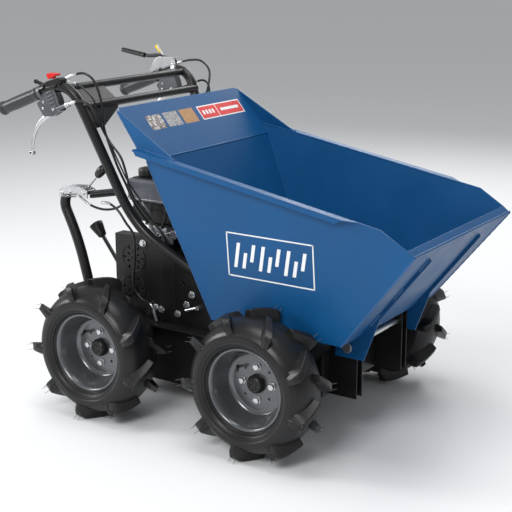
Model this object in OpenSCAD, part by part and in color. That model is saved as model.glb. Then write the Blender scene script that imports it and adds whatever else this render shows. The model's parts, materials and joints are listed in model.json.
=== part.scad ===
// Power wheelbarrow: a four-wheel-drive tub carrier with a tipping steel hopper.
// Millimetres. +X points to the dumping end, +Y to the operator's left, +Z up.
// The origin is on the ground, below the middle of the wheelbase.

/* [Wheels] */
// Distance between the front and rear axles
wheel_base = 458; // [380:1:560]
// Distance between the tyre centre planes of one axle
track = 620; // [600:1:750]
// Outside diameter of a tyre over its lugs
tyre_d = 346; // [320:1:420]
// Width of a tyre at its widest
tyre_w = 122; // [105:1:148]
// Diameter of a rim over its bead lips
rim_d = 192; // [170:1:200]
// Width of a rim over its bead lips
rim_w = 92; // [80:1:100]
// Lugs on each side of a tyre's tread
lugs = 9; // [6:1:11]
// Bolts that hold each wheel
wheel_bolts = 4; // [4:1:6]
// Diameter of the circle of wheel bolts
bolt_circle = 80; // [70:1:90]
// Diameter of the axle shafts
axle_d = 25; // [20:1:30]

/* [Chassis] */
// Thickness of the deck plate
deck_t = 4; // [3:0.5:6]
// Thickness of the folded sheet metal
sheet_t = 3; // [2:0.5:4]
// Height of the belly pan, from its floor to the deck's upper face
belly_h = 161; // [150:1:190]
// Length of the deck behind the rear axle
tail_len = 121; // [100:1:150]
// Length of the deck in front of the front axle
nose_len = 89; // [80:1:110]
// Height of the engine guards above the deck
guard_h = 209; // [180:1:230]

/* [Hopper] */
// Gap between the deck and the hopper's floor
floor_gap = 53; // [50:1:70]
// Distance from the rear axle to the floor's rear edge
engine_bay = 283; // [270:1:320]
// Forward run of the sloping front
slope_run = 184; // [150:1:220]
// Height of the sloping front
slope_rise = 233; // [200:1:260]
// Height of the rear wall up to its fold
rear_rise = 368; // [340:1:380]
// Height of the upper back guard above the fold
back_rise = 115; // [90:1:140]
// Width of the outward flange along each rim
flange_w = 20; // [12:1:24]
// Thickness of the hopper's sheet
hopper_t = 3; // [2:0.5:4]
// Diameter of the tipping pin
pin_d = 16; // [12:1:18]

/* [Engine] */
// Length of the fuel tank
tank_len = 175; // [150:1:190]
// Width of the fuel tank
tank_w = 250; // [200:1:260]
// Height of the fuel tank
tank_h = 60; // [50:1:75]
// Radius of the crankshaft pulley
crank_pulley_r = 35; // [30:1:40]
// Radius of the gearbox pulley
gear_pulley_r = 45; // [40:1:50]

/* [Handles] */
// Diameter of the handle tubes
tube_d = 25; // [22:1:28]
// Diameter of the rubber grips
grip_d = 33; // [30:1:38]
// Length of the rubber grips
grip_len = 139; // [110:1:139]
// How far each grip stands outside its lower tube
handle_spread = 57; // [40:1:70]

/* [Hidden] */
$fn = 48;
running = 0.05;     // radial clearance of a shaft in its bore
gap = 0.3;          // clearance between pieces that only pass by
axle_x = wheel_base/2;
axle_z = tyre_d/2;
inner_y = track/2 - tyre_w/2;
deck_z = axle_z + 46;
belly_z = deck_z - belly_h;
deck_hw = inner_y - 42;
guard_y = deck_hw - 37;
belly_hw = guard_y - 10;
rear_x = -axle_x - tail_len;
front_x = axle_x + nose_len;
deck_under = deck_z - deck_t;

// tipping pivot, and the hopper's outline seen from the side
floor_z = deck_z + floor_gap;
pivot_x = front_x + 51;
pivot_z = floor_z - 35;
post_y = belly_hw - 32;
post_w = 28;
post_l = 71;
tab_y = post_y + 3;
tab_t = 4;
back_x = -axle_x + engine_bay;
toe_x = pivot_x + 34;
nose_x = toe_x + slope_run;
nose_z = floor_z + slope_rise;
rear_lean = 0.4294;
fold_x = back_x - rear_lean*rear_rise;
fold_z = floor_z + rear_rise;
back_lean = 0.835;
crest_x = fold_x - back_lean*back_rise;
crest_z = fold_z + back_rise;
rim_fall = 0.178;
floor_hw = inner_y - 17;
wall_lean = 0.10;
lip_x = nose_x - 18;
lip_z = nose_z + 14;
corner_x = nose_x - 79;
corner_z = nose_z + 51;
function rim_z(x) = corner_z + rim_fall*(corner_x - x);
function wall_y(x, z) = floor_hw - 5.6 + 0.0178*(x - toe_x + 403) + wall_lean*(z - floor_z);
seat_x = (fold_x + back_lean*(fold_z - rim_z(0)))/(1 - back_lean*rim_fall);

// engine, placed from the rear axle and the deck
bay_x = -axle_x;
tank_x = bay_x - 46;
tank_z = deck_z + 286;
shroud_z = deck_z + 236;
crank_x = bay_x + 39;
crank_z = deck_z + 106;
pulley_w = 16;
pulley_y = belly_hw - 30;
drive_x = bay_x + 79;
drive_z = axle_z - 53;
drive_shaft_d = 16;
belt_t = 6;
sprocket_r = 30;
chain_y = 56;
chain_w = 8;

// handle tube: rear end, upper bend, lower bend and front end
tube_r = tube_d/2;
low_y = guard_y + gap + tube_r + 0.2;
grip_y = low_y + handle_spread;
bend_x = bay_x - 123;
bend_z = deck_z + 593;
grip_back = 88;
grip_drop = 33;
grip_tilt = atan(grip_drop/grip_back);
grip_x = bend_x - grip_back;
grip_z = bend_z - grip_drop;
tail_end = 145.4;
handle_ends = [
    [grip_x - tail_end*cos(grip_tilt), -grip_y, grip_z - tail_end*sin(grip_tilt)],
    [bend_x, -grip_y, bend_z],
    [bay_x + 24, -low_y, deck_z + 233],
    [bay_x + 209, -low_y, deck_z + 146]];
bar_r = 10;
upper_bar = [bend_x - 14, bend_z - 22];
lower_bar = [bend_x + 30, bend_z - 64];
gusset_foot = [bend_x + 51, bend_z - 117];
clamp_r = tube_r + 5;

// rear post and its bracket
post_tube_r = 13;
rear_post_y = -low_y - 15;
bracket_x = rear_x - 40;
bracket_z = deck_z + 312;

// centres of the moving controls: along the grip, and up from it
steer_pivot = [24, -50];
drive_pivot = [51, 19];
lock_pivot = [15, 38];
throttle_pivot = [4, 6];
lever_t = 7;
pivot_r = 3;

// routes of the cables, from the hand controls down to the engine and the deck
cable_r = 3;
wire_r = 2;
throttle_route = [
    [-361, -240, 817], [-333, -240, 827], [-305, -234, 829], [-285, -224, 808], [-277, -210, 752],
    [-286, -195, 694], [-255, -190, 610], [-236, -180, 560], [-216, -164, 500], [-190, -146, 455],
    [-182, -131, 432]];
steer_right_route = [
    [-346, -255, 755], [-322, -258, 764], [-301, -256, 767], [-286, -249, 759], [-276, -237, 738],
    [-276, -219, 713], [-283, -205, 694],
    [-266, -198, 662], [-235, -198, 630], [-220, -196, 590], [-212, -186, 535], [-178, -164, 478],
    [-145, -154, 440], [-127, -150, 380], [-125, -148, 300], [-125, -148, 220]];
steer_left_route = [
    [-346, 255, 755], [-330, 256, 764], [-310, 255, 768], [-290, 249, 760], [-276, 236, 735],
    [-262, 212, 670], [-240, 200, 620], [-222, 188, 560], [-198, 172, 500], [-165, 160, 445],
    [-135, 157, 390], [-125, 157, 310], [-125, 157, 220]];
drive_route = [
    [-385, 240, 812], [-370, 240, 817], [-340, 240, 823], [-305, 240, 822], [-276, 236, 798],
    [-272, 222, 750], [-282, 208, 700], [-250, 190, 620], [-232, 178, 560], [-212, 158, 505],
    [-222, 131, 452], [-244, 130, 400], [-252, 140, 340], [-252, 147, 280], [-252, 147, 220]];
latch_route = [
    [-288, -212, 512], [-262, -212, 512], [-236, -212, 498], [-214, -210, 470], [-199, -200, 438],
    [-204, -192, 380], [-210, -190, 307], [-190, -188, 276], [-161, -186, 262], [-146, -184, 222]];
link_route = [
    [-380, -190, 516], [-350, -187, 496], [-315, -182, 487], [-282, -176, 490], [-255, -173, 503],
    [-246, -172, 516]];
kill_route = [
    [-356, -240, 810], [-335, -239, 806], [-308, -234, 790], [-291, -222, 762], [-295, -209, 724],
    [-294, -190, 698], [-283, -181, 660], [-262, -173, 610], [-240, -164, 560], [-215, -140, 505],
    [-204, -125, 482]];

// ---- geometry helpers ----

function unit(v) = v/norm(v);
function mix(a, b, t) = a + (b - a)*t;
function turn_normal(p, i) = cross(p[i] - p[0], p[i + 1] - p[0]);
function add_up(v, i = 0) = i == len(v) - 1 ? v[i] : v[i] + add_up(v, i + 1);
function outline_normal(p) = unit(add_up([for (i = [1:len(p) - 2]) turn_normal(p, i)]));
function reversed(p) = [for (i = [len(p) - 1:-1:0]) p[i]];

// A bend of the path at each inner point, cut back by the given length.
function bent(p, cuts, steps = 8) = [
    p[0],
    for (i = [1:len(p) - 2])
        let (a = p[i] + cuts[i - 1]*unit(p[i - 1] - p[i]), b = p[i] + cuts[i - 1]*unit(p[i + 1] - p[i]))
        for (s = [0:steps]) mix(mix(a, p[i], s/steps), mix(p[i], b, s/steps), s/steps),
    p[len(p) - 1]];

// A smooth curve through hand-placed points, with one point added between each two.
function through(p) = [
    for (i = [0:len(p) - 2])
        let (a = p[max(i - 1, 0)], b = p[i], c = p[i + 1], d = p[min(i + 2, len(p) - 1)])
        each [b, (9*(b + c) - a - d)/16],
    p[len(p) - 1]];

function tangent(p, i) = unit(p[min(i + 1, len(p) - 1)] - p[max(i - 1, 0)]);
function ring(c, t, r, sides, side_ref) =
    let (s = unit(cross(side_ref, t)), u = cross(t, s))
    [for (k = [0:sides - 1]) c + r*(cos(360*k/sides)*s + sin(360*k/sides)*u)];

// A round tube swept along a path.
module sweep(p, r, sides = 20, side_ref = [0, 1, 0]) {
    n = len(p);
    polyhedron(
        points = [for (i = [0:n - 1]) each ring(p[i], tangent(p, i), r, sides, side_ref)],
        faces = [
            [for (k = [0:sides - 1]) k],
            for (i = [0:n - 2], k = [0:sides - 1])
                let (j = (k + 1) % sides)
                [i*sides + k, (i + 1)*sides + k, (i + 1)*sides + j, i*sides + j],
            [for (k = [sides - 1:-1:0]) (n - 1)*sides + k]],
        convexity = 6);
}

// A flat sheet: a planar outline in space, thickened towards the given side.
module sheet(outline, towards, t) {
    n0 = outline_normal(outline);
    p = n0*towards > 0 ? outline : reversed(outline);
    d = t*outline_normal(p);
    n = len(p);
    polyhedron(
        points = concat(p, [for (q = p) q + d]),
        faces = [
            [for (i = [0:n - 1]) i],
            for (i = [0:n - 1]) let (j = (i + 1) % n) [i, i + n, j + n, j],
            [for (i = [n - 1:-1:0]) i + n]],
        convexity = 4);
}

// Outline of a strip of changing width along a flat path.
function strip_side(p, w, side) = [
    for (i = [0:len(p) - 1])
        let (t = tangent(p, i))
        p[i] + side*w[i]/2*[-t[1], t[0]]];
module strip(p, w) {
    polygon(concat(strip_side(p, w, 1), reversed(strip_side(p, w, -1))));
}

// A profile drawn in (x, z), extruded from y0 to y1.
module along_y(y0, y1) {
    translate([0, y1, 0]) rotate([90, 0, 0]) linear_extrude(y1 - y0) children();
}

// A round bar from y0 to y1.
module rod_y(x, z, r, y0, y1) {
    translate([x, y1, z]) rotate([90, 0, 0]) cylinder(r = r, h = y1 - y0);
}

module both_sides() {
    children();
    mirror([0, 1, 0]) children();
}

// The grip's own axes: x forward along the tube, z square to it; y stays across the machine.
module at_grip() {
    translate([grip_x, -grip_y, grip_z]) rotate([0, -grip_tilt, 0]) children();
}

// The space the right handle tube needs, with a clearance.
module tube_space(clear) {
    sweep(bent(handle_ends, [70, 90]), tube_r + clear);
}

// ---- chassis ----

// Side view of the pan; the inner outline runs out through the open top and front.
module belly_outline(inset, over) {
    rise_x = axle_x - 79;
    front = front_x - sheet_t + over;
    polygon([[rear_x + inset, deck_under + over], [rear_x + inset, belly_z + inset],
        [rise_x, belly_z + inset], [front, belly_z + 53 + inset], [front, deck_under + over]]);
}

module belly_pan() {
    color("dimgray")
    difference() {
        along_y(-belly_hw, belly_hw) belly_outline(0, 0);
        along_y(-belly_hw + sheet_t, belly_hw - sheet_t) belly_outline(sheet_t, 1);
        for (x = [-axle_x, axle_x]) rod_y(x, axle_z, axle_d/2 + 10, -belly_hw - 1, belly_hw + 1);
    }
}

module front_apron() {
    color("dimgray")
    translate([front_x - sheet_t, -belly_hw, belly_z + 53])
    cube([sheet_t, 2*belly_hw, deck_under - belly_z - 53]);
}

module deck_plate() {
    slot_x = (crank_x + drive_x)/2;
    slot_l = 2*gear_pulley_r + 24;
    color("dimgray")
    difference() {
        translate([rear_x, -deck_hw, deck_under]) cube([front_x - rear_x, 2*deck_hw, deck_t]);
        translate([slot_x - slot_l/2, pulley_y - 6, deck_under - 1])
        cube([slot_l, pulley_w + 12, deck_t + 2]);
    }
}

module pivot_posts() {
    color("dimgray")
    both_sides()
    difference() {
        translate([front_x, -post_y, belly_z + 53])
        cube([post_l, post_w, pivot_z + 25 - belly_z - 53]);
        translate([front_x + sheet_t, -post_y + sheet_t, belly_z + 50])
        cube([post_l, post_w - 2*sheet_t, pivot_z - belly_z]);
        rod_y(pivot_x, pivot_z, pin_d/2 + running, -post_y - 1, -post_y + post_w + 1);
    }
}

module pivot_pin() {
    half = tab_y + tab_t + 8;
    color("silver") {
        rod_y(pivot_x, pivot_z, pin_d/2, -half, half);
        both_sides() rod_y(pivot_x, pivot_z, pin_d/2 + 4, -half, -half + 5);
    }
}

module axle_bearings() {
    color("gray")
    for (x = [-axle_x, axle_x])
        both_sides()
        difference() {
            union() {
                rod_y(x, axle_z, 40, -belly_hw - 6, -belly_hw);
                rod_y(x, axle_z, 28, -belly_hw - 12, -belly_hw);
            }
            rod_y(x, axle_z, axle_d/2 + running, -belly_hw - 13, -belly_hw + 1);
        }
}

// Cast case around the rear axle, with the belt pulley's shaft running in its front end.
module gearbox_case() {
    case_y = chain_y - 12;
    color("silver")
    difference() {
        union() {
            translate([bay_x - 46, -110, axle_z - 62]) cube([92, 110 + case_y, 94]);
            translate([bay_x + 46, -60, drive_z - 24]) cube([53, 60 + case_y, 60]);
            rod_y(bay_x, axle_z, 30, -124, -110);
            rod_y(drive_x, drive_z, 18, case_y, case_y + 4);
        }
        rod_y(bay_x, axle_z, axle_d/2 + running, -130, case_y + 10);
        rod_y(drive_x, drive_z, drive_shaft_d/2 + running, -20, case_y + 10);
    }
}

module drive_chain() {
    inner_r = sprocket_r + 1;
    color("darkgray")
    along_y(chain_y, chain_y + chain_w)
    difference() {
        hull() for (x = [-axle_x, axle_x]) translate([x, axle_z]) circle(inner_r + 7, $fn = 40);
        hull() for (x = [-axle_x, axle_x]) translate([x, axle_z]) circle(inner_r, $fn = 40);
    }
}

module side_guard() {
    rear = bay_x - 54;
    front = back_x - 26;
    shoulder = bay_x + 89;
    vent_x = bay_x + 4;
    color("dimgray")
    difference() {
        union() {
            along_y(-guard_y, -guard_y + sheet_t)
            polygon([[rear, deck_z], [rear, deck_z + guard_h], [shoulder, deck_z + guard_h],
                [shoulder + 80, deck_z + guard_h - 40], [front, deck_z + 81], [front, deck_z]]);
            translate([rear, -guard_y, deck_z + guard_h - sheet_t]) cube([120, 34, sheet_t]);
            translate([rear, -guard_y, deck_z]) cube([sheet_t, 12, guard_h]);
        }
        for (z = [74, 152], k = [0:11])
            translate([vent_x, -guard_y - 1, deck_z + z])
            rotate([0, 30*k, 0]) translate([k % 2 == 0 ? 24 : 13, 0, -2]) cube([9, sheet_t + 2, 4]);
        translate([bay_x + 150, -guard_y - 1, deck_z + 114]) rotate([0, 50, 0])
        cube([14, sheet_t + 2, 5]);
    }
}

module side_guard_right() {
    side_guard();
}

module side_guard_left() {
    mirror([0, 1, 0]) side_guard();
}

// Hexagon screws with washers, on the outer faces of both engine guards.
module frame_bolts() {
    places = [[35, guard_h - 15], [71, 34], [90, 32], [183, 84], [139, 28], [167, 56]];
    color("silver")
    both_sides()
    for (p = places)
        translate([bay_x + p[0], -guard_y, deck_z + p[1]]) rotate([90, 0, 0]) {
            cylinder(r = 9, h = 1.5);
            cylinder(r = 7.5, h = 6.5, $fn = 6);
        }
}

module rest_pads() {
    pad_x = back_x + 36;
    color([0.12, 0.12, 0.12])
    both_sides()
    translate([pad_x, -belly_hw + 20, deck_z]) {
        cube([30, 50, floor_gap - 12]);
        translate([3, 3, floor_gap - 12]) cube([24, 44, 12 - gap]);
    }
}

// ---- engine ----

module engine_block() {
    color("dimgray") {
        translate([bay_x - 26, -80, deck_z]) cube([130, 175, 16]);
        translate([bay_x - 20, -82, deck_z + 16]) cube([118, 171, 150]);
        translate([bay_x - 11, -78, deck_z + 166]) cube([100, 150, shroud_z - deck_z - 166]);
        for (k = [0:6])
            translate([bay_x + 98 + 8*k, -50, deck_z + 80 - 2*k]) cube([4, 100, 84 + 2*k]);
        translate([bay_x + 98, -42, deck_z + 92]) cube([54, 84, 66]);
    }
}

module fan_shroud() {
    color([0.1, 0.1, 0.1]) {
        translate([bay_x - 33, -122, shroud_z]) cube([150, 234, tank_z - shroud_z]);
        difference() {
            rod_y(crank_x, crank_z, 80, -122, -82 - gap);
            for (k = [0:17])
                translate([crank_x, -123, crank_z]) rotate([0, 20*k, 0])
                translate([32, 0, -3]) cube([34, 8, 6]);
        }
    }
}

module starter_grip() {
    color([0.06, 0.06, 0.06])
    translate([crank_x + 46, -122, crank_z + 60]) rotate([90, 0, 0]) {
        cylinder(r = 6, h = 8);
        translate([-17, -6, 8]) cube([34, 12, 13]);
    }
}

module fuel_tank() {
    cap = fuel_cap_place();
    color("slategray")
    difference() {
        union() {
            translate([tank_x, -tank_w/2 - 5, tank_z]) cube([tank_len, tank_w, tank_h - 5]);
            translate([tank_x + 5, -tank_w/2, tank_z + tank_h - 5])
            cube([tank_len - 10, tank_w - 10, 5]);
            translate(cap) cylinder(r = 18, h = 6);
        }
        translate([cap[0], cap[1], cap[2] - 12]) cylinder(r = 12, h = 30);
    }
}

function fuel_cap_place() = [tank_x + 40, -tank_w/2 + 35, tank_z + tank_h];

module fuel_cap() {
    color([0.08, 0.08, 0.08])
    translate(fuel_cap_place())
    difference() {
        union() {
            translate([0, 0, 1]) cylinder(r = 24, h = 20);
            for (k = [0:11]) rotate([0, 0, 30*k]) translate([22.5, -2.5, 1]) cube([3.5, 5, 18]);
        }
        translate([0, 0, -1]) cylinder(r = 18 + gap, h = 7 + gap);
    }
}

module air_filter() {
    color([0.1, 0.1, 0.1]) {
        translate([bay_x - 106, 15, deck_z + 186]) cube([68, 95, 76]);
        translate([bay_x - 38, 40, deck_z + 196]) cube([27, 40, 30]);
    }
}

module muffler() {
    color("darkgray") {
        translate([bay_x + 129, -60, deck_z + 186]) cube([45, 150, 78]);
        translate([bay_x + 89, 30, deck_z + 200]) cube([40, 30, 26]);
    }
}

module carburettor() {
    color("silver") {
        translate([bay_x + 20, -128, deck_z + 190]) cube([56, 50, 40]);
        translate([bay_x + 46, -110, deck_z + 187]) cylinder(r = 15, h = 3);
        rod_y(bay_x + 90, deck_z + 210, 12, -120, -78);
        translate([bay_x + 76, -104, deck_z + 202]) cube([14, 14, 14]);
    }
}

// A flat-belt pulley with a flange on each side and five lightening holes.
module pulley(x, z, r) {
    difference() {
        union() {
            rod_y(x, z, r, pulley_y - 3, pulley_y + pulley_w + 3);
            for (y = [pulley_y - 3, pulley_y + pulley_w]) rod_y(x, z, r + 4, y, y + 3);
        }
        for (k = [0:4])
            translate([x, 0, z]) rotate([0, 72*k, 0])
            rod_y(0.62*r, 0, 0.16*r, pulley_y - 4, pulley_y + pulley_w + 4);
    }
}

// The crankshaft stub ends in the engine block, so the pulley carries its own shaft.
module engine_pulley() {
    color("gray") {
        pulley(crank_x, crank_z, crank_pulley_r);
        rod_y(crank_x, crank_z, 10, 95 + gap, pulley_y);
    }
}

module gearbox_pulley() {
    color("gray") {
        pulley(drive_x, drive_z, gear_pulley_r);
        rod_y(drive_x, drive_z, drive_shaft_d/2, 0, pulley_y);
    }
}

module drive_belt() {
    ends = [[crank_x, crank_z, crank_pulley_r + gap], [drive_x, drive_z, gear_pulley_r + gap]];
    color([0.07, 0.07, 0.07])
    along_y(pulley_y + gap, pulley_y + pulley_w - gap)
    difference() {
        hull() for (e = ends) translate([e[0], e[1]]) circle(e[2] + belt_t, $fn = 48);
        hull() for (e = ends) translate([e[0], e[1]]) circle(e[2] + gap, $fn = 48);
    }
}

// ---- handles ----

module handle_tube() {
    color([0.1, 0.1, 0.1]) sweep(bent(handle_ends, [70, 90]), tube_r);
}

module handle_right() {
    handle_tube();
}

module handle_left() {
    mirror([0, 1, 0]) handle_tube();
}

// Two cross tubes between the handles, and the bent gusset plate beside the right one.
module handle_bridge() {
    plate_y = -grip_y + 6;
    color([0.1, 0.1, 0.1]) {
        rod_y(upper_bar[0], upper_bar[1], bar_r, -grip_y, grip_y);
        rod_y(lower_bar[0], lower_bar[1], bar_r, -grip_y + 4, grip_y - 4);
        sheet([[upper_bar[0], plate_y, upper_bar[1]], [upper_bar[0], -112, upper_bar[1]],
            [lower_bar[0], -96, lower_bar[1]], [lower_bar[0], plate_y + 4, lower_bar[1]]], [1, 0, 1], 4);
        sheet([[lower_bar[0], plate_y + 4, lower_bar[1]], [lower_bar[0], -96, lower_bar[1]],
            [mix(lower_bar[0], gusset_foot[0], 0.3), -108, mix(lower_bar[1], gusset_foot[1], 0.3)],
            [gusset_foot[0], -180, gusset_foot[1]],
            [gusset_foot[0], plate_y + 18, gusset_foot[1]]], [1, 0, 0], 4);
    }
}

module handle_grips() {
    over = 5;
    color([0.2, 0.2, 0.22])
    both_sides() at_grip()
    rotate([0, 90, 0])
    difference() {
        union() {
            translate([0, 0, -tail_end - over]) cylinder(r = grip_d/2 + 1.5, h = 10);
            translate([0, 0, -tail_end - over + 10]) cylinder(r = grip_d/2 - 1, h = grip_len - 16);
            translate([0, 0, -tail_end - over + grip_len - 6]) cylinder(r = grip_d/2, h = 6);
        }
        translate([0, 0, -tail_end - 0.5]) cylinder(r = tube_r + 0.1, h = grip_len + 10);
    }
}

// ---- hand controls ----

// Cast housings of the steering clutch levers, one clamped under each handle tube.
module lever_housings() {
    half = 11;
    color("gray")
    both_sides()
    difference() {
        at_grip() {
            along_y(-half, half)
            polygon([[-9, 4], [-9, -19], [-21, -21], [-22, -28], [-14, -58], [14, -67], [46, -62],
                [48, -33], [44, 2]]);
            rotate([0, 90, 0]) translate([0, 0, -9]) cylinder(r = clamp_r, h = 10);
            translate([40, -15, -55]) rotate([0, 90, 0]) cylinder(r = 5, h = 38);
        }
        difference() {
            at_grip() along_y(-lever_t/2 - 0.8, lever_t/2 + 0.8)
            polygon([[-40, -80], [-40, -30], [-8, -24], [37, -30], [37, -80]]);
            at_grip() rod_y(steer_pivot[0], steer_pivot[1], pivot_r, -half, half);
        }
        tube_space(0.1);
    }
}

module steering_lever() {
    path = [steer_pivot, [2, -58], [-24, -62], [-51, -73], [-75, -93], [-90, -115], [-95, -128]];
    color("lightgray")
    at_grip()
    difference() {
        union() {
            along_y(-lever_t/2, lever_t/2) strip(path, [16, 15, 14, 12, 9, 8, 8]);
            rod_y(steer_pivot[0], steer_pivot[1], 8, -lever_t/2, lever_t/2);
            translate([-97, 0, -130]) rotate([90, 0, 0]) sphere(r = 8);
        }
        rod_y(steer_pivot[0], steer_pivot[1], pivot_r + running, -lever_t, lever_t);
    }
}

module steering_lever_right() {
    steering_lever();
}

module steering_lever_left() {
    mirror([0, 1, 0]) steering_lever();
}

module drive_lever_bracket() {
    cheek = lever_t/2 + 1;
    color("silver")
    mirror([0, 1, 0])
    union() {
        difference() {
            at_grip() {
                for (y = [-cheek - 3, cheek])
                    along_y(y, y + 3)
                    polygon([[-34, 18.5], [-30, 26], [-2, 46], [12, 48], [60, 30], [60, 0], [47, 0],
                        [47, 13.5], [20, 15], [4, 18.5]]);
                translate([48, 0, 0]) rotate([0, 90, 0]) cylinder(r = clamp_r, h = 12);
            }
            tube_space(0.1);
            at_grip() along_y(-cheek, cheek) polygon([[30, 11], [30, 60], [62, 60], [62, 8]]);
        }
        at_grip() {
            rod_y(drive_pivot[0], drive_pivot[1], pivot_r, -cheek - 5, cheek + 5);
            rod_y(lock_pivot[0], lock_pivot[1], 2.5, -cheek - 8, -cheek);
        }
    }
}

// Clutch lever on the left handle: a flat arm and a long rubber sleeve.
module drive_lever() {
    path = [drive_pivot, [30, 36], [6, 52], [-24, 61], [-42, 69], [-60, 79]];
    color([0.1, 0.1, 0.1])
    mirror([0, 1, 0]) at_grip()
    difference() {
        union() {
            along_y(-lever_t/2, lever_t/2) strip(path, [12, 12, 12, 10, 9, 8]);
            rod_y(drive_pivot[0], drive_pivot[1], 6.5, -lever_t/2, lever_t/2);
            translate([-40, 0, 68]) rotate([0, -61, 0]) cylinder(r = 7, h = 80);
        }
        rod_y(drive_pivot[0], drive_pivot[1], pivot_r + running, -lever_t, lever_t);
    }
}

module lock_lever() {
    side = lever_t/2 + 4 + gap;
    color("gold")
    mirror([0, 1, 0]) at_grip()
    difference() {
        union() {
            along_y(-side - 3, -side) strip([lock_pivot, [10, 58], [7, 68]], [9, 7, 6]);
            rod_y(lock_pivot[0], lock_pivot[1], 6, -side - 3, -side);
            along_y(-side - 4, -side + 1) strip([[8, 63], [4, 80]], [9, 10]);
        }
        rod_y(lock_pivot[0], lock_pivot[1], 2.5 + running, -side - 4, -side + 2);
    }
}

module throttle_housing() {
    inside = 11.3;
    color([0.12, 0.12, 0.12])
    difference() {
        at_grip() {
            rotate([0, 90, 0]) translate([0, 0, 2]) cylinder(r = clamp_r, h = 16);
            rod_y(throttle_pivot[0], throttle_pivot[1], 15, inside, tube_r + 9);
            rod_y(throttle_pivot[0], throttle_pivot[1], pivot_r, inside, tube_r + 15);
            translate([8, inside + 6, 8]) rotate([0, 60, 0]) cylinder(r = 4, h = 20);
        }
        tube_space(0.1);
        at_grip() translate([-30, -30, -40]) cube([80, 30 + inside, 44.6]);
        at_grip() translate([-30, 0, -40]) cube([31.5, clamp_r + gap, 80]);
    }
}

module throttle_lever() {
    side = tube_r + 9 + gap;
    color([0.08, 0.08, 0.08])
    at_grip()
    difference() {
        union() {
            rod_y(throttle_pivot[0], throttle_pivot[1], 12, side, side + 4.5);
            along_y(side, side + 4.5) strip([throttle_pivot, [-14, 19], [-35, 34]], [12, 9, 8]);
            rod_y(-35, 34, 5.5, side - 1, side + 7);
        }
        rod_y(throttle_pivot[0], throttle_pivot[1], pivot_r + running, side - 2, side + 6);
    }
}

module switch_housing() {
    color([0.09, 0.09, 0.09])
    difference() {
        at_grip() {
            along_y(-12, 12) polygon([[20, -2], [20, 15], [30, 17.5], [68, 15], [76, 8], [72, -2], [30, -10]]);
        }
        at_grip() translate([49, 0, 8]) cylinder(r = 4.5, h = 20);
        tube_space(0.1);
        throttle_housing_space();
    }
}

// The switch body ends where the throttle clamp and the lever housing begin.
module throttle_housing_space() {
    at_grip() translate([-30, -30, -40]) cube([49, 60, 80]);
    at_grip() translate([-30, -30, -80]) cube([80, 60, 82.5]);
}

module kill_button() {
    color("red")
    at_grip() {
        along_y(-10, 10) polygon([[36, 21], [35, 34], [46, 34], [64, 26], [63, 21]]);
        translate([49, 0, 15]) cylinder(r = 4.2, h = 8);
    }
}

// ---- rear post, latch lever and gear lever ----

module rear_post() {
    color([0.1, 0.1, 0.1])
    sweep(bent([[rear_x + 13, rear_post_y, deck_z], [rear_x + 13, rear_post_y, deck_z + 24],
        [rear_x - 30, rear_post_y, deck_z + 184], [rear_x - 74, rear_post_y, deck_z + 272],
        [rear_x - 62, rear_post_y, deck_z + 304]], [10, 60, 18], 6), post_tube_r);
}

module post_bracket() {
    tie_end = handle_ends[2] + 0.3*(handle_ends[1] - handle_ends[2]);
    inside = post_tube_r + 0.8;
    color("silver")
    both_cheeks() {
        along_y(inside, inside + 3)
        polygon([[rear_x - 76, deck_z + 292], [rear_x - 74, deck_z + 312], [rear_x - 62, deck_z + 322],
            [rear_x - 8, deck_z + 326], [rear_x + 18, deck_z + 318], [rear_x + 18, deck_z + 298]]);
        along_y(inside, inside + 3)
        strip([[rear_x + 10, deck_z + 308], [tie_end[0] + 8, tie_end[2] - 12]], [12, 12]);
    }
    color("silver") {
        rod_y(bracket_x, bracket_z - 2, pivot_r, rear_post_y - post_tube_r - 5, rear_post_y + post_tube_r + 5);
        rod_y(rear_x - 66, deck_z + 308, 4, rear_post_y - post_tube_r - 6, rear_post_y + post_tube_r + 6);
    }
}

module both_cheeks() {
    translate([0, rear_post_y, 0]) both_sides() children();
}

// Pulls the cable of the hopper's catch.
module latch_lever() {
    knob = [bracket_x + 92, bracket_z + 58];
    arm = [bracket_x + 40, bracket_z + 4];
    color("silver")
    translate([0, rear_post_y, 0])
    difference() {
        union() {
            along_y(-4, 4) strip([[bracket_x, bracket_z - 2], arm, [bracket_x + 52, bracket_z + 16]], [16, 12, 8]);
            rod_y(bracket_x, bracket_z - 2, 9, -6, 6);
            translate([arm[0], 0, arm[1]]) rotate([0, 44, 0]) cylinder(r = 3.5, h = 60);
            translate([knob[0] - 12, 0, knob[1] - 14]) rotate([0, 44, 0])
            rotate_extrude()
            polygon([[0, 0], [7, 0], [10, 7], for (a = [0:15:75]) [10*cos(a), 24 + 10*sin(a)], [0, 34]]);
        }
        rod_y(bracket_x, bracket_z - 2, pivot_r + running, -10, 10);
    }
}

module gear_lever() {
    pivot = [bay_x - 16, deck_z + 61];
    color([0.1, 0.1, 0.1])
    translate([0, -belly_hw + 10, 0]) {
        rod_y(pivot[0], pivot[1], 10, -5, 5);
        along_y(-3, 3)
        strip([pivot, pivot + [-55, 75], pivot + [-101, 135]], [12, 12, 12]);
        translate([pivot[0] - 95, 0, pivot[1] + 127]) rotate([0, -38, 0])
        cylinder(r1 = 9, r2 = 17, h = 40, $fn = 40);
    }
}

// ---- cables ----

module cable(route, r) {
    color([0.08, 0.08, 0.08]) sweep(through(route), r, r < 3 ? 8 : 10);
}

module throttle_cable() {
    cable(throttle_route, cable_r);
}

module steering_cables() {
    cable(steer_right_route, cable_r);
    cable(steer_left_route, cable_r);
}

module drive_cable() {
    cable(drive_route, cable_r);
}

module latch_cable() {
    cable(latch_route, cable_r);
    cable(link_route, cable_r);
}

module kill_wire() {
    cable(kill_route, wire_r);
}

// ---- hopper ----

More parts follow.
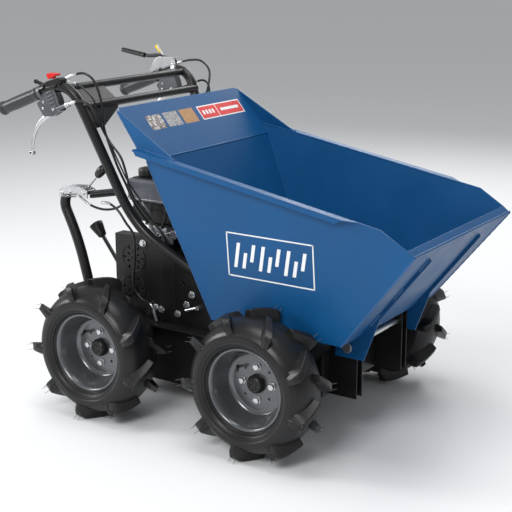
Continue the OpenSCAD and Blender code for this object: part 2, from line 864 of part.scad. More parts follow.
function wall(x, z, out = 0) = [x, -wall_y(x, z) - out, z];
function both_y(x, z) = [[x, -wall_y(x, z), z], [x, wall_y(x, z), z]];
function across(a, b) = concat(both_y(a[0], a[1]), reversed(both_y(b[0], b[1])));

module hopper_side() {
    seat = [seat_x, rim_z(seat_x)];
    flange_end = corner_x - 47;
    sheet([wall(back_x, floor_z), wall(toe_x, floor_z), wall(nose_x, nose_z), wall(lip_x, lip_z),
        wall(corner_x, corner_z), wall(seat[0], seat[1]), wall(fold_x, fold_z)], [0, 1, 0], hopper_t);
    sheet([wall(seat[0], seat[1]), wall(back_x - 72, rim_z(back_x - 72)),
        [crest_x, -wall_y(seat[0], seat[1]) + 11, crest_z]], [0, 1, 0], hopper_t);
    sheet([wall(seat[0], seat[1], -hopper_t), wall(flange_end, rim_z(flange_end), -hopper_t),
        wall(flange_end - 35, rim_z(flange_end - 35), flange_w),
        wall(seat[0], seat[1], flange_w)], [0, 0, -1], hopper_t);
    sheet([wall(seat[0], seat[1], flange_w), wall(flange_end - 35, rim_z(flange_end - 35), flange_w),
        wall(flange_end - 50, rim_z(flange_end - 50) - 13, flange_w + 1.3),
        wall(seat[0] + 9, rim_z(seat[0] + 9) - 13, flange_w + 1.3)], [0, 1, 0], hopper_t);
}

module hopper_tub() {
    crest_hw = wall_y(seat_x, rim_z(seat_x)) - 11;
    seat_z = rim_z(seat_x);
    over = 1.2;
    color("royalblue") {
        sheet(across([back_x, floor_z], [toe_x, floor_z]), [0, 0, 1], hopper_t);
        sheet(across([toe_x, floor_z], [nose_x, nose_z]), [-1, 0, 1], hopper_t);
        sheet(across([nose_x, nose_z], [lip_x, lip_z]), [-1, 0, -1], hopper_t);
        sheet(across([back_x, floor_z], [fold_x - over*rear_lean, fold_z + over]), [1, 0, 0], hopper_t);
        sheet(concat(both_y(fold_x, fold_z), [[seat_x, wall_y(seat_x, seat_z), seat_z],
            [crest_x + 10, crest_hw, crest_z - 12], [crest_x, crest_hw - 12, crest_z],
            [crest_x, -crest_hw + 12, crest_z], [crest_x + 10, -crest_hw, crest_z - 12],
            [seat_x, -wall_y(seat_x, seat_z), seat_z]]), [1, 0, 0], hopper_t);
        both_sides() hopper_side();
    }
}

// Vertical plates welded under the hopper, with the hole for the tipping pin.
module pivot_tabs() {
    slope = slope_rise/slope_run;
    top_x = nose_x - 24;
    color("royalblue")
    both_sides()
    difference() {
        along_y(-tab_y - tab_t, -tab_y)
        polygon([[pivot_x - 35, pivot_z - 26], [pivot_x + 40, pivot_z - 26], [pivot_x + 78, pivot_z + 78],
            [top_x + 4, floor_z + slope*(top_x - toe_x) - 6], [top_x, floor_z + slope*(top_x - toe_x)],
            [toe_x, floor_z], [pivot_x - 29, floor_z]]);
        rod_y(pivot_x, pivot_z, pin_d/2 + running, -tab_y - tab_t - 1, -tab_y + 1);
    }
}

// ---- axles and wheels ----

module at_wheel(x, side) {
    mirror([0, side, 0]) translate([x, -track/2, axle_z]) rotate([90, 0, 0]) children();
}

// Shaft with its two hubs and the chain sprocket.
module axle_shaft(x) {
    hub_y = track/2 - 13;
    color("gray")
    translate([x, 0, 0])
    difference() {
        union() {
            rod_y(0, axle_z, axle_d/2, -hub_y, hub_y);
            both_sides() {
                rod_y(0, axle_z, 50, -hub_y, -hub_y + 8);
                rod_y(0, axle_z, axle_d/2 + 9, -hub_y, -belly_hw - 13);
            }
            along_y(chain_y, chain_y + chain_w) translate([0, axle_z])
            for (k = [0:2]) rotate([0, 0, 40*k]) circle(sprocket_r, $fn = 9);
        }
        both_sides()
        for (k = [0:wheel_bolts - 1])
            translate([0, -hub_y - 1, axle_z]) rotate([0, 360*k/wheel_bolts, 0])
            rod_y(bolt_circle/2, 0, 5.1, 0, 12);
    }
}

module front_axle_shaft() {
    axle_shaft(axle_x);
}

module rear_axle_shaft() {
    axle_shaft(-axle_x);
}

// Pressed steel rim; the disc bolts onto the hub's flange.
module rim(x, side) {
    r = rim_d/2;
    half = rim_w/2;
    color("silver")
    at_wheel(x, side)
    difference() {
        union() {
            rotate_extrude($fn = 96)
            polygon([[r, half], [r, half - 3], [r - 17, half - 3], [r - 20, half - 6],
                [r - 20, 6 - half], [r - 17, 3 - half], [r, 3 - half], [r, -half],
                [r - 19, -half], [r - 23, 4 - half], [r - 23, half - 4], [r - 19, half]]);
            translate([0, 0, -13]) cylinder(r = r - 22, h = 4, $fn = 96);
        }
        for (k = [0:wheel_bolts - 1]) {
            rotate(360*k/wheel_bolts) translate([bolt_circle/2, 0, -14]) cylinder(r = 5.1, h = 6);
            rotate(360*(k + 0.5)/wheel_bolts) translate([bolt_circle/2 + 5, 0, -14]) cylinder(r = 4, h = 6);
        }
    }
}

// Carcass with a bead at each side, and chevron lugs standing up to the full diameter.
module tyre(x, side) {
    r = rim_d/2;
    bead = rim_w/2 - 3 - gap;
    mid = tyre_d/2 - 51;
    half = tyre_w/2;
    outer = [for (a = [-130:20:130]) [mid + 35*cos(a), half*sin(a)]];
    inner = [for (a = [110:-20:-110]) [mid + 25*cos(a), (half - 8)*sin(a)]];
    color([0.13, 0.13, 0.13])
    at_wheel(x, side)
    union() {
        rotate_extrude($fn = 96)
        polygon(concat([[r - 17.7, -30], [r - 16, -bead], [r, -bead]], outer,
            [[r, bead], [r - 16, bead], [r - 17.7, 30]], inner));
        intersection() {
            cylinder(r = tyre_d/2, h = 2*tyre_w, center = true, $fn = 96);
            for (s = [-1, 1], k = [0:lugs - 1])
                rotate(-90 + 360*(k + (s > 0 ? 0 : 0.5))/lugs)
                translate([tyre_d/2 - 27, 0, 0.245*s*tyre_w])
                rotate([35*s, 0, 0]) translate([0, -8.5, -tyre_w/4])
                cube([30, 17, tyre_w/2]);
        }
    }
}

module front_rim_right() {
    rim(axle_x, 0);
}

module front_rim_left() {
    rim(axle_x, 1);
}

module rear_rim_right() {
    rim(-axle_x, 0);
}

module rear_rim_left() {
    rim(-axle_x, 1);
}

module front_tyre_right() {
    tyre(axle_x, 0);
}

module front_tyre_left() {
    tyre(axle_x, 1);
}

module rear_tyre_right() {
    tyre(-axle_x, 0);
}

module rear_tyre_left() {
    tyre(-axle_x, 1);
}

// Wheel bolts with their heads on the disc, and a plastic cap over the shaft's end.
module wheel_bolts_of(x) {
    color("silver")
    for (side = [0, 1])
        at_wheel(x, side) {
            for (k = [0:wheel_bolts - 1])
                rotate(360*k/wheel_bolts) translate([bolt_circle/2, 0, 0]) {
                    translate([0, 0, -20]) cylinder(r = 5, h = 11);
                    translate([0, 0, -9]) cylinder(r = 9.5, h = 1.5);
                    translate([0, 0, -9]) cylinder(r = 8.5, h = 8, $fn = 6);
                }
            translate([0, 0, -9]) cylinder(r = 22, h = 10);
            translate([0, 0, 1]) cylinder(r1 = 22, r2 = 15, h = 7, $fn = 48);
        }
}

module front_wheel_bolts() {
    wheel_bolts_of(axle_x);
}

module rear_wheel_bolts() {
    wheel_bolts_of(-axle_x);
}

belly_pan();
front_apron();
deck_plate();
pivot_posts();
pivot_pin();
axle_bearings();
gearbox_case();
drive_chain();
engine_block();
fan_shroud();
starter_grip();
fuel_tank();
air_filter();
muffler();
carburettor();
drive_belt();
side_guard_right();
side_guard_left();
handle_right();
handle_left();
handle_bridge();
handle_grips();
lever_housings();
drive_lever_bracket();
throttle_housing();
switch_housing();
rear_post();
post_bracket();
rest_pads();
frame_bolts();
throttle_cable();
steering_cables();
drive_cable();
latch_cable();
kill_wire();
hopper_tub();
pivot_tabs();
front_axle_shaft();
front_rim_right();
front_rim_left();
front_tyre_right();
front_tyre_left();
front_wheel_bolts();
rear_axle_shaft();
rear_rim_right();
rear_rim_left();
rear_tyre_right();
rear_tyre_left();
rear_wheel_bolts();
steering_lever_right();
steering_lever_left();
drive_lever();
lock_lever();
throttle_lever();
kill_button();
gear_lever();
latch_lever();
fuel_cap();
engine_pulley();
gearbox_pulley();
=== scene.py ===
"""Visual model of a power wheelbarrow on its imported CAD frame. Metres, +Z up, +X to the dumping end."""
import json
import logging
import math
from dataclasses import dataclass, field
from enum import Enum
from typing import Iterable, Sequence

import bmesh
import bpy
from mathutils import Matrix, Vector

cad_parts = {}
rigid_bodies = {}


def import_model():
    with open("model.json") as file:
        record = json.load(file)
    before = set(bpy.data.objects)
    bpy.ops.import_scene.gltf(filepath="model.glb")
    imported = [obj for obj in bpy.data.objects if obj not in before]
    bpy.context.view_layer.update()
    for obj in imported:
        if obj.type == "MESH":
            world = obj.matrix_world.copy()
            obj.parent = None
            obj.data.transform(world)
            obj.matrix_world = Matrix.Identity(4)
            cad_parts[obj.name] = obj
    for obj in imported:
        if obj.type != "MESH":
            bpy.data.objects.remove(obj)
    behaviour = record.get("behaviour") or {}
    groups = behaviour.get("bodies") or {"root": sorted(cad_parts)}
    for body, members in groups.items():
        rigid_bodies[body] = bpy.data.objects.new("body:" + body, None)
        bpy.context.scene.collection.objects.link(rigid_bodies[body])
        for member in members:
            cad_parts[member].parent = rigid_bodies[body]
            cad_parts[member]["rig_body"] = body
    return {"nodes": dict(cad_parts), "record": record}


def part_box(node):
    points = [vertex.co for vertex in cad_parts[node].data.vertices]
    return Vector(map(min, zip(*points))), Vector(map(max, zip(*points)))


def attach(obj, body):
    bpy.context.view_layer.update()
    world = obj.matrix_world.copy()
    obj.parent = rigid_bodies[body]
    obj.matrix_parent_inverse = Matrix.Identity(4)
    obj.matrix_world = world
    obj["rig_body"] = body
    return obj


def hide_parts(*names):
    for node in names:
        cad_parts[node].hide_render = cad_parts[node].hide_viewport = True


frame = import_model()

LOG = logging.getLogger("wheelbarrow")
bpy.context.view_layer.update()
MM = 0.001
Point = Sequence[float]
Colour = tuple[float, float, float]


# ---- finishes ----


def tint(red: int, green: int, blue: int) -> Colour:
    """Turns an 8-bit display colour into the linear colour that shaders use.

    Args:
        red: Red, 0 to 255.
        green: Green, 0 to 255.
        blue: Blue, 0 to 255.

    Returns:
        The linear red, green and blue.
    """
    return tuple((c / 255 / 12.92) if c < 11 else ((c / 255 + 0.055) / 1.055) ** 2.4
                 for c in (red, green, blue))


class Grain(Enum):
    """The texture of a surface, as the stretch of its noise along each axis."""

    POWDER = (1.0, 1.0, 1.0)
    CAST = (0.8, 1.1, 0.9)
    TURNED = (0.3, 6.0, 0.3)
    RUBBER = (1.3, 0.7, 1.0)


class Graph:
    """A shader node tree with short ways to add and join nodes."""

    def __init__(self, tree: bpy.types.NodeTree) -> None:
        """Keeps the tree that nodes go into."""
        self.tree = tree

    def node(self, kind: str, **settings: object) -> bpy.types.Node:
        """Adds a node.

        Args:
            kind: The node's type, without its ShaderNode prefix.
            **settings: Properties to set on it.

        Returns:
            The new node.
        """
        made = self.tree.nodes.new("ShaderNode" + kind)
        for key, value in settings.items():
            setattr(made, key, value)
        return made

    def feed(self, value: object, socket: bpy.types.NodeSocket) -> None:
        """Sets an input to a constant, or links an output to it.

        Args:
            value: A number, a vector, a colour or another node's output.
            socket: The input that takes it.
        """
        if isinstance(value, bpy.types.NodeSocket):
            self.tree.links.new(value, socket)
        else:
            socket.default_value = value

    def math(self, operation: str, a: object, b: object, clamp: bool = False) -> bpy.types.NodeSocket:
        """Adds a Math node and returns its output."""
        made = self.node("Math", operation=operation, use_clamp=clamp)
        self.feed(a, made.inputs[0])
        self.feed(b, made.inputs[1])
        return made.outputs[0]

    def mix(self, factor: object, a: object, b: object) -> bpy.types.NodeSocket:
        """Adds a colour Mix node and returns its result."""
        made = self.node("Mix", data_type="RGBA")
        self.feed(factor, made.inputs["Factor"])
        self.feed(a, made.inputs[6])
        self.feed(b, made.inputs[7])
        return made.outputs[2]

    def noise(self, vector: object, scale: object, detail: float,
              roughness: float = 0.55) -> bpy.types.NodeSocket:
        """Adds a Noise node and returns its value."""
        made = self.node("TexNoise")
        self.feed(vector, made.inputs["Vector"])
        self.feed(scale, made.inputs["Scale"])
        self.feed(detail, made.inputs["Detail"])
        self.feed(roughness, made.inputs["Roughness"])
        return made.outputs[0]

    def spread(self, value: object, low: float, high: float) -> bpy.types.NodeSocket:
        """Maps a noise value's middle range onto low to high and returns the result."""
        made = self.node("MapRange")
        self.feed(value, made.inputs["Value"])
        self.feed(0.3, made.inputs["From Min"])
        self.feed(0.7, made.inputs["From Max"])
        self.feed(low, made.inputs["To Min"])
        self.feed(high, made.inputs["To Max"])
        return made.outputs[0]


class Effects:
    """Shader node groups that several finishes share, each built when it is first used."""

    SOCKETS = {float: "NodeSocketFloat", tuple: "NodeSocketVector"}

    def __init__(self) -> None:
        """Starts with no groups."""
        self.groups: dict[str, bpy.types.NodeTree] = {}

    def start(self, name: str, inputs: dict[str, object], outputs: Sequence[str]) -> tuple:
        """Makes an empty group with its sockets.

        Args:
            name: The group's name.
            inputs: Each input's name and default.
            outputs: Each output's name.

        Returns:
            The graph, the group's input node and its output node.
        """
        tree = bpy.data.node_groups.new(name, "ShaderNodeTree")
        for key, value in inputs.items():
            made = tree.interface.new_socket(key, in_out="INPUT", socket_type=self.SOCKETS[type(value)])
            made.default_value = value
        for key in outputs:
            kind = "NodeSocketVector" if key == "Normal" else "NodeSocketFloat"
            tree.interface.new_socket(key, in_out="OUTPUT", socket_type=kind)
        self.groups[name] = tree
        return Graph(tree), tree.nodes.new("NodeGroupInput"), tree.nodes.new("NodeGroupOutput")

    def edge_wear(self) -> bpy.types.NodeTree:
        """Rubbed edges: a mask of convex and concave edges broken into patches, and the rounded normal."""
        if "edge_wear" in self.groups:
            return self.groups["edge_wear"]
        graph, given, made = self.start(
            "edge_wear", {"Radius": 0.002, "Gain": 2.0, "Patch Scale": 30.0}, ("Mask", "Normal"))
        rounded = graph.node("Bevel", samples=4)
        graph.feed(given.outputs["Radius"], rounded.inputs["Radius"])
        flat = graph.node("NewGeometry")
        same = graph.node("VectorMath", operation="DOT_PRODUCT")
        graph.feed(rounded.outputs[0], same.inputs[0])
        graph.feed(flat.outputs["Normal"], same.inputs[1])
        turned = graph.math("SUBTRACT", 1.0, same.outputs["Value"])
        strong = graph.math("MULTIPLY", turned, given.outputs["Gain"])
        place = graph.node("TexCoord")
        cloud = graph.noise(place.outputs["Object"], given.outputs["Patch Scale"], 4.0)
        patches = graph.spread(cloud, 0.0, 1.0)
        graph.feed(graph.math("MULTIPLY", strong, patches, clamp=True), made.inputs["Mask"])
        graph.feed(rounded.outputs[0], made.inputs["Normal"])
        return self.groups["edge_wear"]

    def surface_grain(self) -> bpy.types.NodeTree:
        """Fine relief of a surface and slow cloudy variation over it."""
        if "surface_grain" in self.groups:
            return self.groups["surface_grain"]
        graph, given, made = self.start(
            "surface_grain", {"Stretch": (1.0, 1.0, 1.0), "Grain Scale": 900.0, "Cloud Scale": 9.0},
            ("Height", "Cloud"))
        place = graph.node("TexCoord")
        stretched = graph.node("Mapping")
        graph.feed(place.outputs["Object"], stretched.inputs["Vector"])
        graph.feed(given.outputs["Stretch"], stretched.inputs["Scale"])
        fine = graph.noise(stretched.outputs[0], given.outputs["Grain Scale"], 3.0)
        coarse_scale = graph.math("MULTIPLY", given.outputs["Grain Scale"], 0.23)
        coarse = graph.noise(stretched.outputs[0], coarse_scale, 2.0)
        graph.feed(graph.math("MULTIPLY", graph.math("ADD", fine, coarse), 0.5), made.inputs["Height"])
        cloud = graph.noise(place.outputs["Object"], given.outputs["Cloud Scale"], 5.0)
        graph.feed(cloud, made.inputs["Cloud"])
        return self.groups["surface_grain"]

    def dust(self) -> bpy.types.NodeTree:
        """Fine dust that settles on faces that look up."""
        if "dust" in self.groups:
            return self.groups["dust"]
        graph, given, made = self.start("dust", {"Amount": 0.3, "Dust Scale": 25.0}, ("Mask",))
        facing = graph.node("NewGeometry")
        split = graph.node("SeparateXYZ")
        graph.feed(facing.outputs["Normal"], split.inputs[0])
        up = graph.math("MAXIMUM", split.outputs["Z"], 0.0)
        place = graph.node("TexCoord")
        cloud = graph.noise(place.outputs["Object"], given.outputs["Dust Scale"], 6.0)
        settled = graph.math("MULTIPLY", up, graph.spread(cloud, 0.2, 1.0))
        amount = graph.math("MULTIPLY", settled, given.outputs["Amount"], clamp=True)
        graph.feed(amount, made.inputs["Mask"])
        return self.groups["dust"]


EFFECTS = Effects()


@dataclass(frozen=True)
class Finish:
    """A painted, metal, plastic or rubber surface with grain, cloudy variation, rubbed edges and dust."""

    name: str
    colour: Colour
    roughness: float
    worn: Colour
    metallic: float = 0.0
    coat: float = 0.0
    grain: Grain = Grain.POWDER
    grain_scale: float = 900.0
    relief: float = 0.00008
    cloud: float = 0.12
    wear: float = 1.6
    edge: float = 0.0012
    dust: float = 0.05
    specular: float = 0.5

    def material(self) -> bpy.types.Material:
        """Builds the material once and returns it."""
        if self.name in bpy.data.materials:
            return bpy.data.materials[self.name]
        made = bpy.data.materials.new(self.name)
        made.use_nodes = True
        graph = Graph(made.node_tree)
        shader = made.node_tree.nodes["Principled BSDF"]
        wear = graph.node("Group", node_tree=EFFECTS.edge_wear())
        wear.inputs["Radius"].default_value = self.edge
        wear.inputs["Gain"].default_value = self.wear
        grain = graph.node("Group", node_tree=EFFECTS.surface_grain())
        grain.inputs["Stretch"].default_value = self.grain.value
        grain.inputs["Grain Scale"].default_value = self.grain_scale
        dust = graph.node("Group", node_tree=EFFECTS.dust())
        dust.inputs["Amount"].default_value = self.dust
        dark = tuple(c * (1 - self.cloud) for c in self.colour) + (1.0,)
        light = tuple(min(1.0, c * (1 + self.cloud)) for c in self.colour) + (1.0,)
        body = graph.mix(graph.spread(grain.outputs["Cloud"], 0.0, 1.0), dark, light)
        rubbed = graph.mix(wear.outputs["Mask"], body, self.worn + (1.0,))
        dusty = graph.mix(dust.outputs["Mask"], rubbed, tint(150, 146, 138) + (1.0,))
        graph.feed(dusty, shader.inputs["Base Color"])
        rough = graph.spread(grain.outputs["Cloud"], self.roughness * 0.85, min(1.0, self.roughness * 1.2))
        graph.feed(graph.math("ADD", rough, graph.math("MULTIPLY", dust.outputs["Mask"], 0.3), clamp=True),
                   shader.inputs["Roughness"])
        shader.inputs["Metallic"].default_value = self.metallic
        shader.inputs["Coat Weight"].default_value = self.coat
        shader.inputs["Coat Roughness"].default_value = 0.12
        shader.inputs["Specular IOR Level"].default_value = self.specular
        bump = graph.node("Bump")
        bump.inputs["Distance"].default_value = self.relief
        graph.feed(grain.outputs["Height"], bump.inputs["Height"])
        graph.feed(wear.outputs["Normal"], bump.inputs["Normal"])
        graph.feed(bump.outputs[0], shader.inputs["Normal"])
        return made


@dataclass(frozen=True)
class StonePrint:
    """A printed swatch of a bulk material: cobbles, gravel or sand."""

    name: str
    light: Colour
    dark: Colour
    joint: Colour
    cell_scale: float
    joint_width: float

    def material(self) -> bpy.types.Material:
        """Builds the material once and returns it."""
        made = bpy.data.materials.new(self.name)
        made.use_nodes = True
        graph = Graph(made.node_tree)
        shader = made.node_tree.nodes["Principled BSDF"]
        place = graph.node("TexCoord")
        stones = graph.node("TexVoronoi", feature="DISTANCE_TO_EDGE")
        shades = graph.node("TexVoronoi")
        for cells in (stones, shades):
            graph.feed(place.outputs["Object"], cells.inputs["Vector"])
            cells.inputs["Scale"].default_value = self.cell_scale
        split = graph.node("SeparateColor")
        graph.feed(shades.outputs["Color"], split.inputs[0])
        stone = graph.mix(split.outputs[0], self.dark + (1.0,), self.light + (1.0,))
        in_joint = graph.math("LESS_THAN", stones.outputs["Distance"], self.joint_width)
        graph.feed(graph.mix(in_joint, stone, self.joint + (1.0,)), shader.inputs["Base Color"])
        speck = graph.noise(place.outputs["Object"], self.cell_scale * 9, 3.0)
        graph.feed(graph.spread(speck, 0.3, 0.5), shader.inputs["Roughness"])
        return made


class Finishes:
    """Every finish of the machine, by the name of its slot or part."""

    BY_SLOT = {
        "hopper_blue": Finish("stoved_blue_paint", tint(6, 78, 130), 0.44, tint(52, 108, 160), coat=0.05,
                              grain_scale=420.0, relief=0.00011, cloud=0.06, wear=0.9, dust=0.01,
                              specular=0.3),
        "frame_black": Finish("black_powder_coat", tint(17, 17, 18), 0.34, tint(74, 74, 76), specular=0.4,
                              grain_scale=700.0, relief=0.00012, cloud=0.2, wear=1.2),
        "engine_black": Finish("black_moulded_cover", tint(17, 17, 18), 0.36, tint(60, 60, 60), specular=0.4,
                               grain_scale=1300.0, cloud=0.15, wear=0.7),
        "tank_grey": Finish("slate_tank_paint", tint(92, 95, 102), 0.3, tint(180, 180, 184), coat=0.3,
                            cloud=0.07, relief=0.00006),
        "cast_alloy": Finish("satin_cast_alloy", tint(196, 197, 200), 0.3, tint(240, 240, 240), metallic=0.85,
                             grain=Grain.CAST, grain_scale=600.0, relief=0.0001, cloud=0.1),
        "dark_alloy": Finish("dull_engine_casting", tint(52, 53, 55), 0.5, tint(140, 140, 140), metallic=0.5,
                             grain=Grain.CAST, grain_scale=380.0, relief=0.0002, cloud=0.2),
        "zinc_steel": Finish("bright_zinc_plate", tint(206, 208, 210), 0.27, tint(245, 245, 245),
                             metallic=0.9, grain=Grain.TURNED, grain_scale=300.0, relief=0.00004, cloud=0.12),
        "axle_steel": Finish("oiled_turned_steel", tint(96, 97, 100), 0.38, tint(180, 180, 182), metallic=0.9,
                             grain=Grain.TURNED, grain_scale=300.0, cloud=0.2),
        "exhaust_steel": Finish("heat_stained_steel", tint(120, 112, 104), 0.45, tint(170, 164, 158),
                                metallic=0.8, grain=Grain.CAST, cloud=0.3),
        "rim_grey": Finish("satin_rim_paint", tint(96, 99, 102), 0.24, tint(215, 217, 219), metallic=0.6,
                           coat=0.45, grain_scale=500.0, relief=0.00006, cloud=0.08, wear=2.0, edge=0.0016),
        "tyre_rubber": Finish("moulded_tyre_rubber", tint(24, 24, 25), 0.34, tint(62, 62, 64),
                              grain=Grain.RUBBER, grain_scale=520.0, relief=0.00004, cloud=0.25,
                              wear=0.6, edge=0.002, dust=0.03,
                              specular=0.35),
        "grip_rubber": Finish("ribbed_grip_rubber", tint(36, 37, 41), 0.38, tint(90, 90, 96),
                              grain=Grain.RUBBER, grain_scale=900.0, relief=0.00012, cloud=0.12),
        "cable_black": Finish("cable_jacket", tint(14, 14, 15), 0.34, tint(50, 50, 50), grain_scale=1500.0,
                              relief=0.00005, wear=0.5),
        "control_grey": Finish("sandblasted_die_casting", tint(92, 94, 98), 0.4, tint(180, 181, 184),
                               metallic=0.55, grain=Grain.CAST, grain_scale=800.0, relief=0.00014),
        "control_black": Finish("black_control_plastic", tint(13, 13, 14), 0.34, tint(60, 60, 62),
                                grain_scale=1400.0, relief=0.00007, wear=0.8),
        "signal_red": Finish("signal_red_plastic", tint(214, 26, 26), 0.3, tint(240, 110, 100), coat=0.2,
                             grain_scale=1400.0, relief=0.00004, cloud=0.06, wear=0.5),
        "signal_yellow": Finish("signal_yellow_vinyl", tint(238, 204, 40), 0.36, tint(250, 236, 150),
                                grain_scale=1200.0, relief=0.00005, cloud=0.08, wear=0.5),
    }
    WHITE = Finish("white_vinyl_print", tint(236, 238, 240), 0.38, tint(250, 250, 250), grain_scale=1600.0,
                   relief=0.00002, cloud=0.03, wear=0.2, dust=0.02)
    # Light grey on the thin moulding nibs is a painted highlight: the nibs are the tyre's own black rubber,
    # and the grey stands in for the light they catch.
    NIB_HIGHLIGHT = Finish("nib_painted_highlight", tint(104, 104, 106), 0.5, tint(120, 120, 120), grain_scale=1500.0,
                 relief=0.00003)
    BEAD = Finish("painted_weld_bead", tint(22, 84, 138), 0.38, tint(110, 150, 196), coat=0.2,
                  grain_scale=260.0, relief=0.0005, cloud=0.1, wear=1.0)
    COBBLES = StonePrint("cobble_print", tint(206, 204, 200), tint(120, 116, 114),
                         tint(84, 60, 50), 95.0, 0.06)
    GRAVEL = StonePrint("gravel_print", tint(196, 196, 196), tint(122, 122, 124),
                        tint(90, 90, 92), 420.0, 0.05)
    SAND = StonePrint("sand_print", tint(204, 160, 104), tint(150, 104, 58), tint(130, 88, 46), 700.0, 0.04)


# ---- meshes ----


def lerp(a: float, b: float, t: float) -> float:
    """Returns the value a share t of the way from a to b."""
    return a + (b - a) * t


def mm(*points: Point) -> list[tuple[float, float]]:
    """Returns points that are given in millimetres, in metres."""
    return [(a * MM, b * MM) for a, b in points]


def smooth_path(points: Sequence[Point], steps: int = 6) -> list[Vector]:
    """Runs a smooth curve through points.

    Args:
        points: The points, in order.
        steps: Pieces between each two.

    Returns:
        The points along the curve.
    """
    given = [Vector(p) for p in points]
    made = []
    for i in range(len(given) - 1):
        a, b = given[max(i - 1, 0)], given[i]
        c, d = given[i + 1], given[min(i + 2, len(given) - 1)]
        for s in range(steps):
            t = s / steps
            made.append(0.5 * (2 * b + (c - a) * t + (2 * a - 5 * b + 4 * c - d) * t ** 2
                               + (3 * b - a - 3 * c + d) * t ** 3))
    return made + [given[-1]]


def bent_path(points: Sequence[Point], cuts: Sequence[float], steps: int = 12) -> list[Vector]:
    """Rounds the corners of a path as a bent tube's are.

    Args:
        points: The corners, with both ends.
        cuts: How far each inner corner is cut back.
        steps: Pieces in each bend.

    Returns:
        The points along the path.
    """
    given = [Vector(p) for p in points]
    made = [given[0]]
    for i, cut in enumerate(cuts, start=1):
        corner = given[i]
        before = corner + cut * (given[i - 1] - corner).normalized()
        after = corner + cut * (given[i + 1] - corner).normalized()
        for s in range(steps + 1):
            t = s / steps
            made.append(before.lerp(corner, t).lerp(corner.lerp(after, t), t))
    return made + [given[-1]]


class Shape:
    """A mesh put together from skins over rings of points."""

    def __init__(self) -> None:
        """Starts with an empty mesh."""
        self.bm = bmesh.new()

    def skin(self, rings: Sequence[Sequence[Vector]], loop: bool = False, caps: bool = True) -> "Shape":
        """Joins closed rings of points in order.

        Args:
            rings: The rings, all with the same number of points.
            loop: Whether the last ring joins the first.
            caps: Whether the two ends are closed.

        Returns:
            This shape.
        """
        made = [[self.bm.verts.new(p) for p in ring] for ring in rings]
        count = len(made[0])
        last = len(made) if loop else len(made) - 1
        for i in range(last):
            a, b = made[i], made[(i + 1) % len(made)]
            for k in range(count):
                j = (k + 1) % count
                self.bm.faces.new((a[k], a[j], b[j], b[k]))
        if caps and not loop:
            self.bm.faces.new(made[0][::-1])
            self.bm.faces.new(made[-1])
        return self

    def turn(self, outline: Sequence[Point], place: Matrix, steps: int = 48, closed: bool = False) -> "Shape":
        """Turns an outline of (radius, height) points about a place's own Z axis.

        Args:
            outline: The outline's points.
            place: The axis's place.
            steps: Flats round the axis.
            closed: Whether the outline closes on itself.

        Returns:
            This shape.
        """
        angles = [math.tau * k / steps for k in range(steps)]
        rings = [[place @ Vector((r * math.cos(a), r * math.sin(a), h)) for a in angles] for r, h in outline]
        return self.skin(rings, loop=closed)

    def sweep(self, path: Sequence[Vector], radii: Iterable[float], sides: int = 24,
              flat: float = 1.0, across: Point = (0, 1, 0)) -> "Shape":
        """Runs a round or oval section along a path.

        Args:
            path: The points of its centre line.
            radii: The section's radius at each point.
            sides: Flats round the section.
            flat: The section's thickness along across, as a share of its width.
            across: The direction that stays level.

        Returns:
            This shape.
        """
        rings = []
        side = Vector(across).normalized()
        for i, (point, radius) in enumerate(zip(path, radii)):
            along = (path[min(i + 1, len(path) - 1)] - path[max(i - 1, 0)]).normalized()
            out = along.cross(side).normalized()
            level = out.cross(along).normalized()
            rings.append([point + radius * (math.cos(math.tau * k / sides) * out
                                            + flat * math.sin(math.tau * k / sides) * level)
                          for k in range(sides)])
        return self.skin(rings)

    def slab(self, outline: Sequence[Point], towards: Point, thickness: float) -> "Shape":
        """Thickens a flat outline in space towards the given side."""
        points = [Vector(p) for p in outline]
        normal = Vector()
        for i in range(1, len(points) - 1):
            normal += (points[i] - points[0]).cross(points[i + 1] - points[0])
        normal.normalize()
        if normal.dot(Vector(towards)) < 0:
            normal = -normal
        return self.skin([points, [p + normal * thickness for p in points]])

    def block(self, low: Point, high: Point, place: Matrix | None = None) -> "Shape":
        """Adds a block between two corners, in a place's own axes."""
        at = place or Matrix.Identity(4)
        corners = [(low[0], low[1]), (high[0], low[1]), (high[0], high[1]), (low[0], high[1])]
        return self.skin([[at @ Vector((x, y, z)) for x, y in corners] for z in (low[2], high[2])])

    def rod(self, start: Point, end: Point, radius: float, sides: int = 32) -> "Shape":
        """Adds a round bar from start to end."""
        a, b = Vector(start), Vector(end)
        place = Matrix.Translation(a) @ (b - a).to_track_quat("Z", "Y").to_matrix().to_4x4()
        return self.turn([(radius, 0), (radius, (b - a).length)], place, sides)

    def coil(self, start: Point, end: Point, radius: float, wire: float, turns: int) -> "Shape":
        """Adds a coil spring from start to end."""
        a, b = Vector(start), Vector(end)
        place = Matrix.Translation(a) @ (b - a).to_track_quat("Z", "Y").to_matrix().to_4x4()
        count = turns * 12
        path = [place @ Vector((radius * math.cos(math.tau * k / 12), radius * math.sin(math.tau * k / 12),
                                (b - a).length * k / count)) for k in range(count + 1)]
        return self.sweep(path, [wire] * len(path), 6, across=(b - a).normalized())

    def mesh(self, name: str) -> bpy.types.Mesh:
        """Turns its faces outwards and returns the finished mesh."""
        bmesh.ops.recalc_face_normals(self.bm, faces=self.bm.faces)
        made = bpy.data.meshes.new(name)
        self.bm.to_mesh(made)
        self.bm.free()
        return made


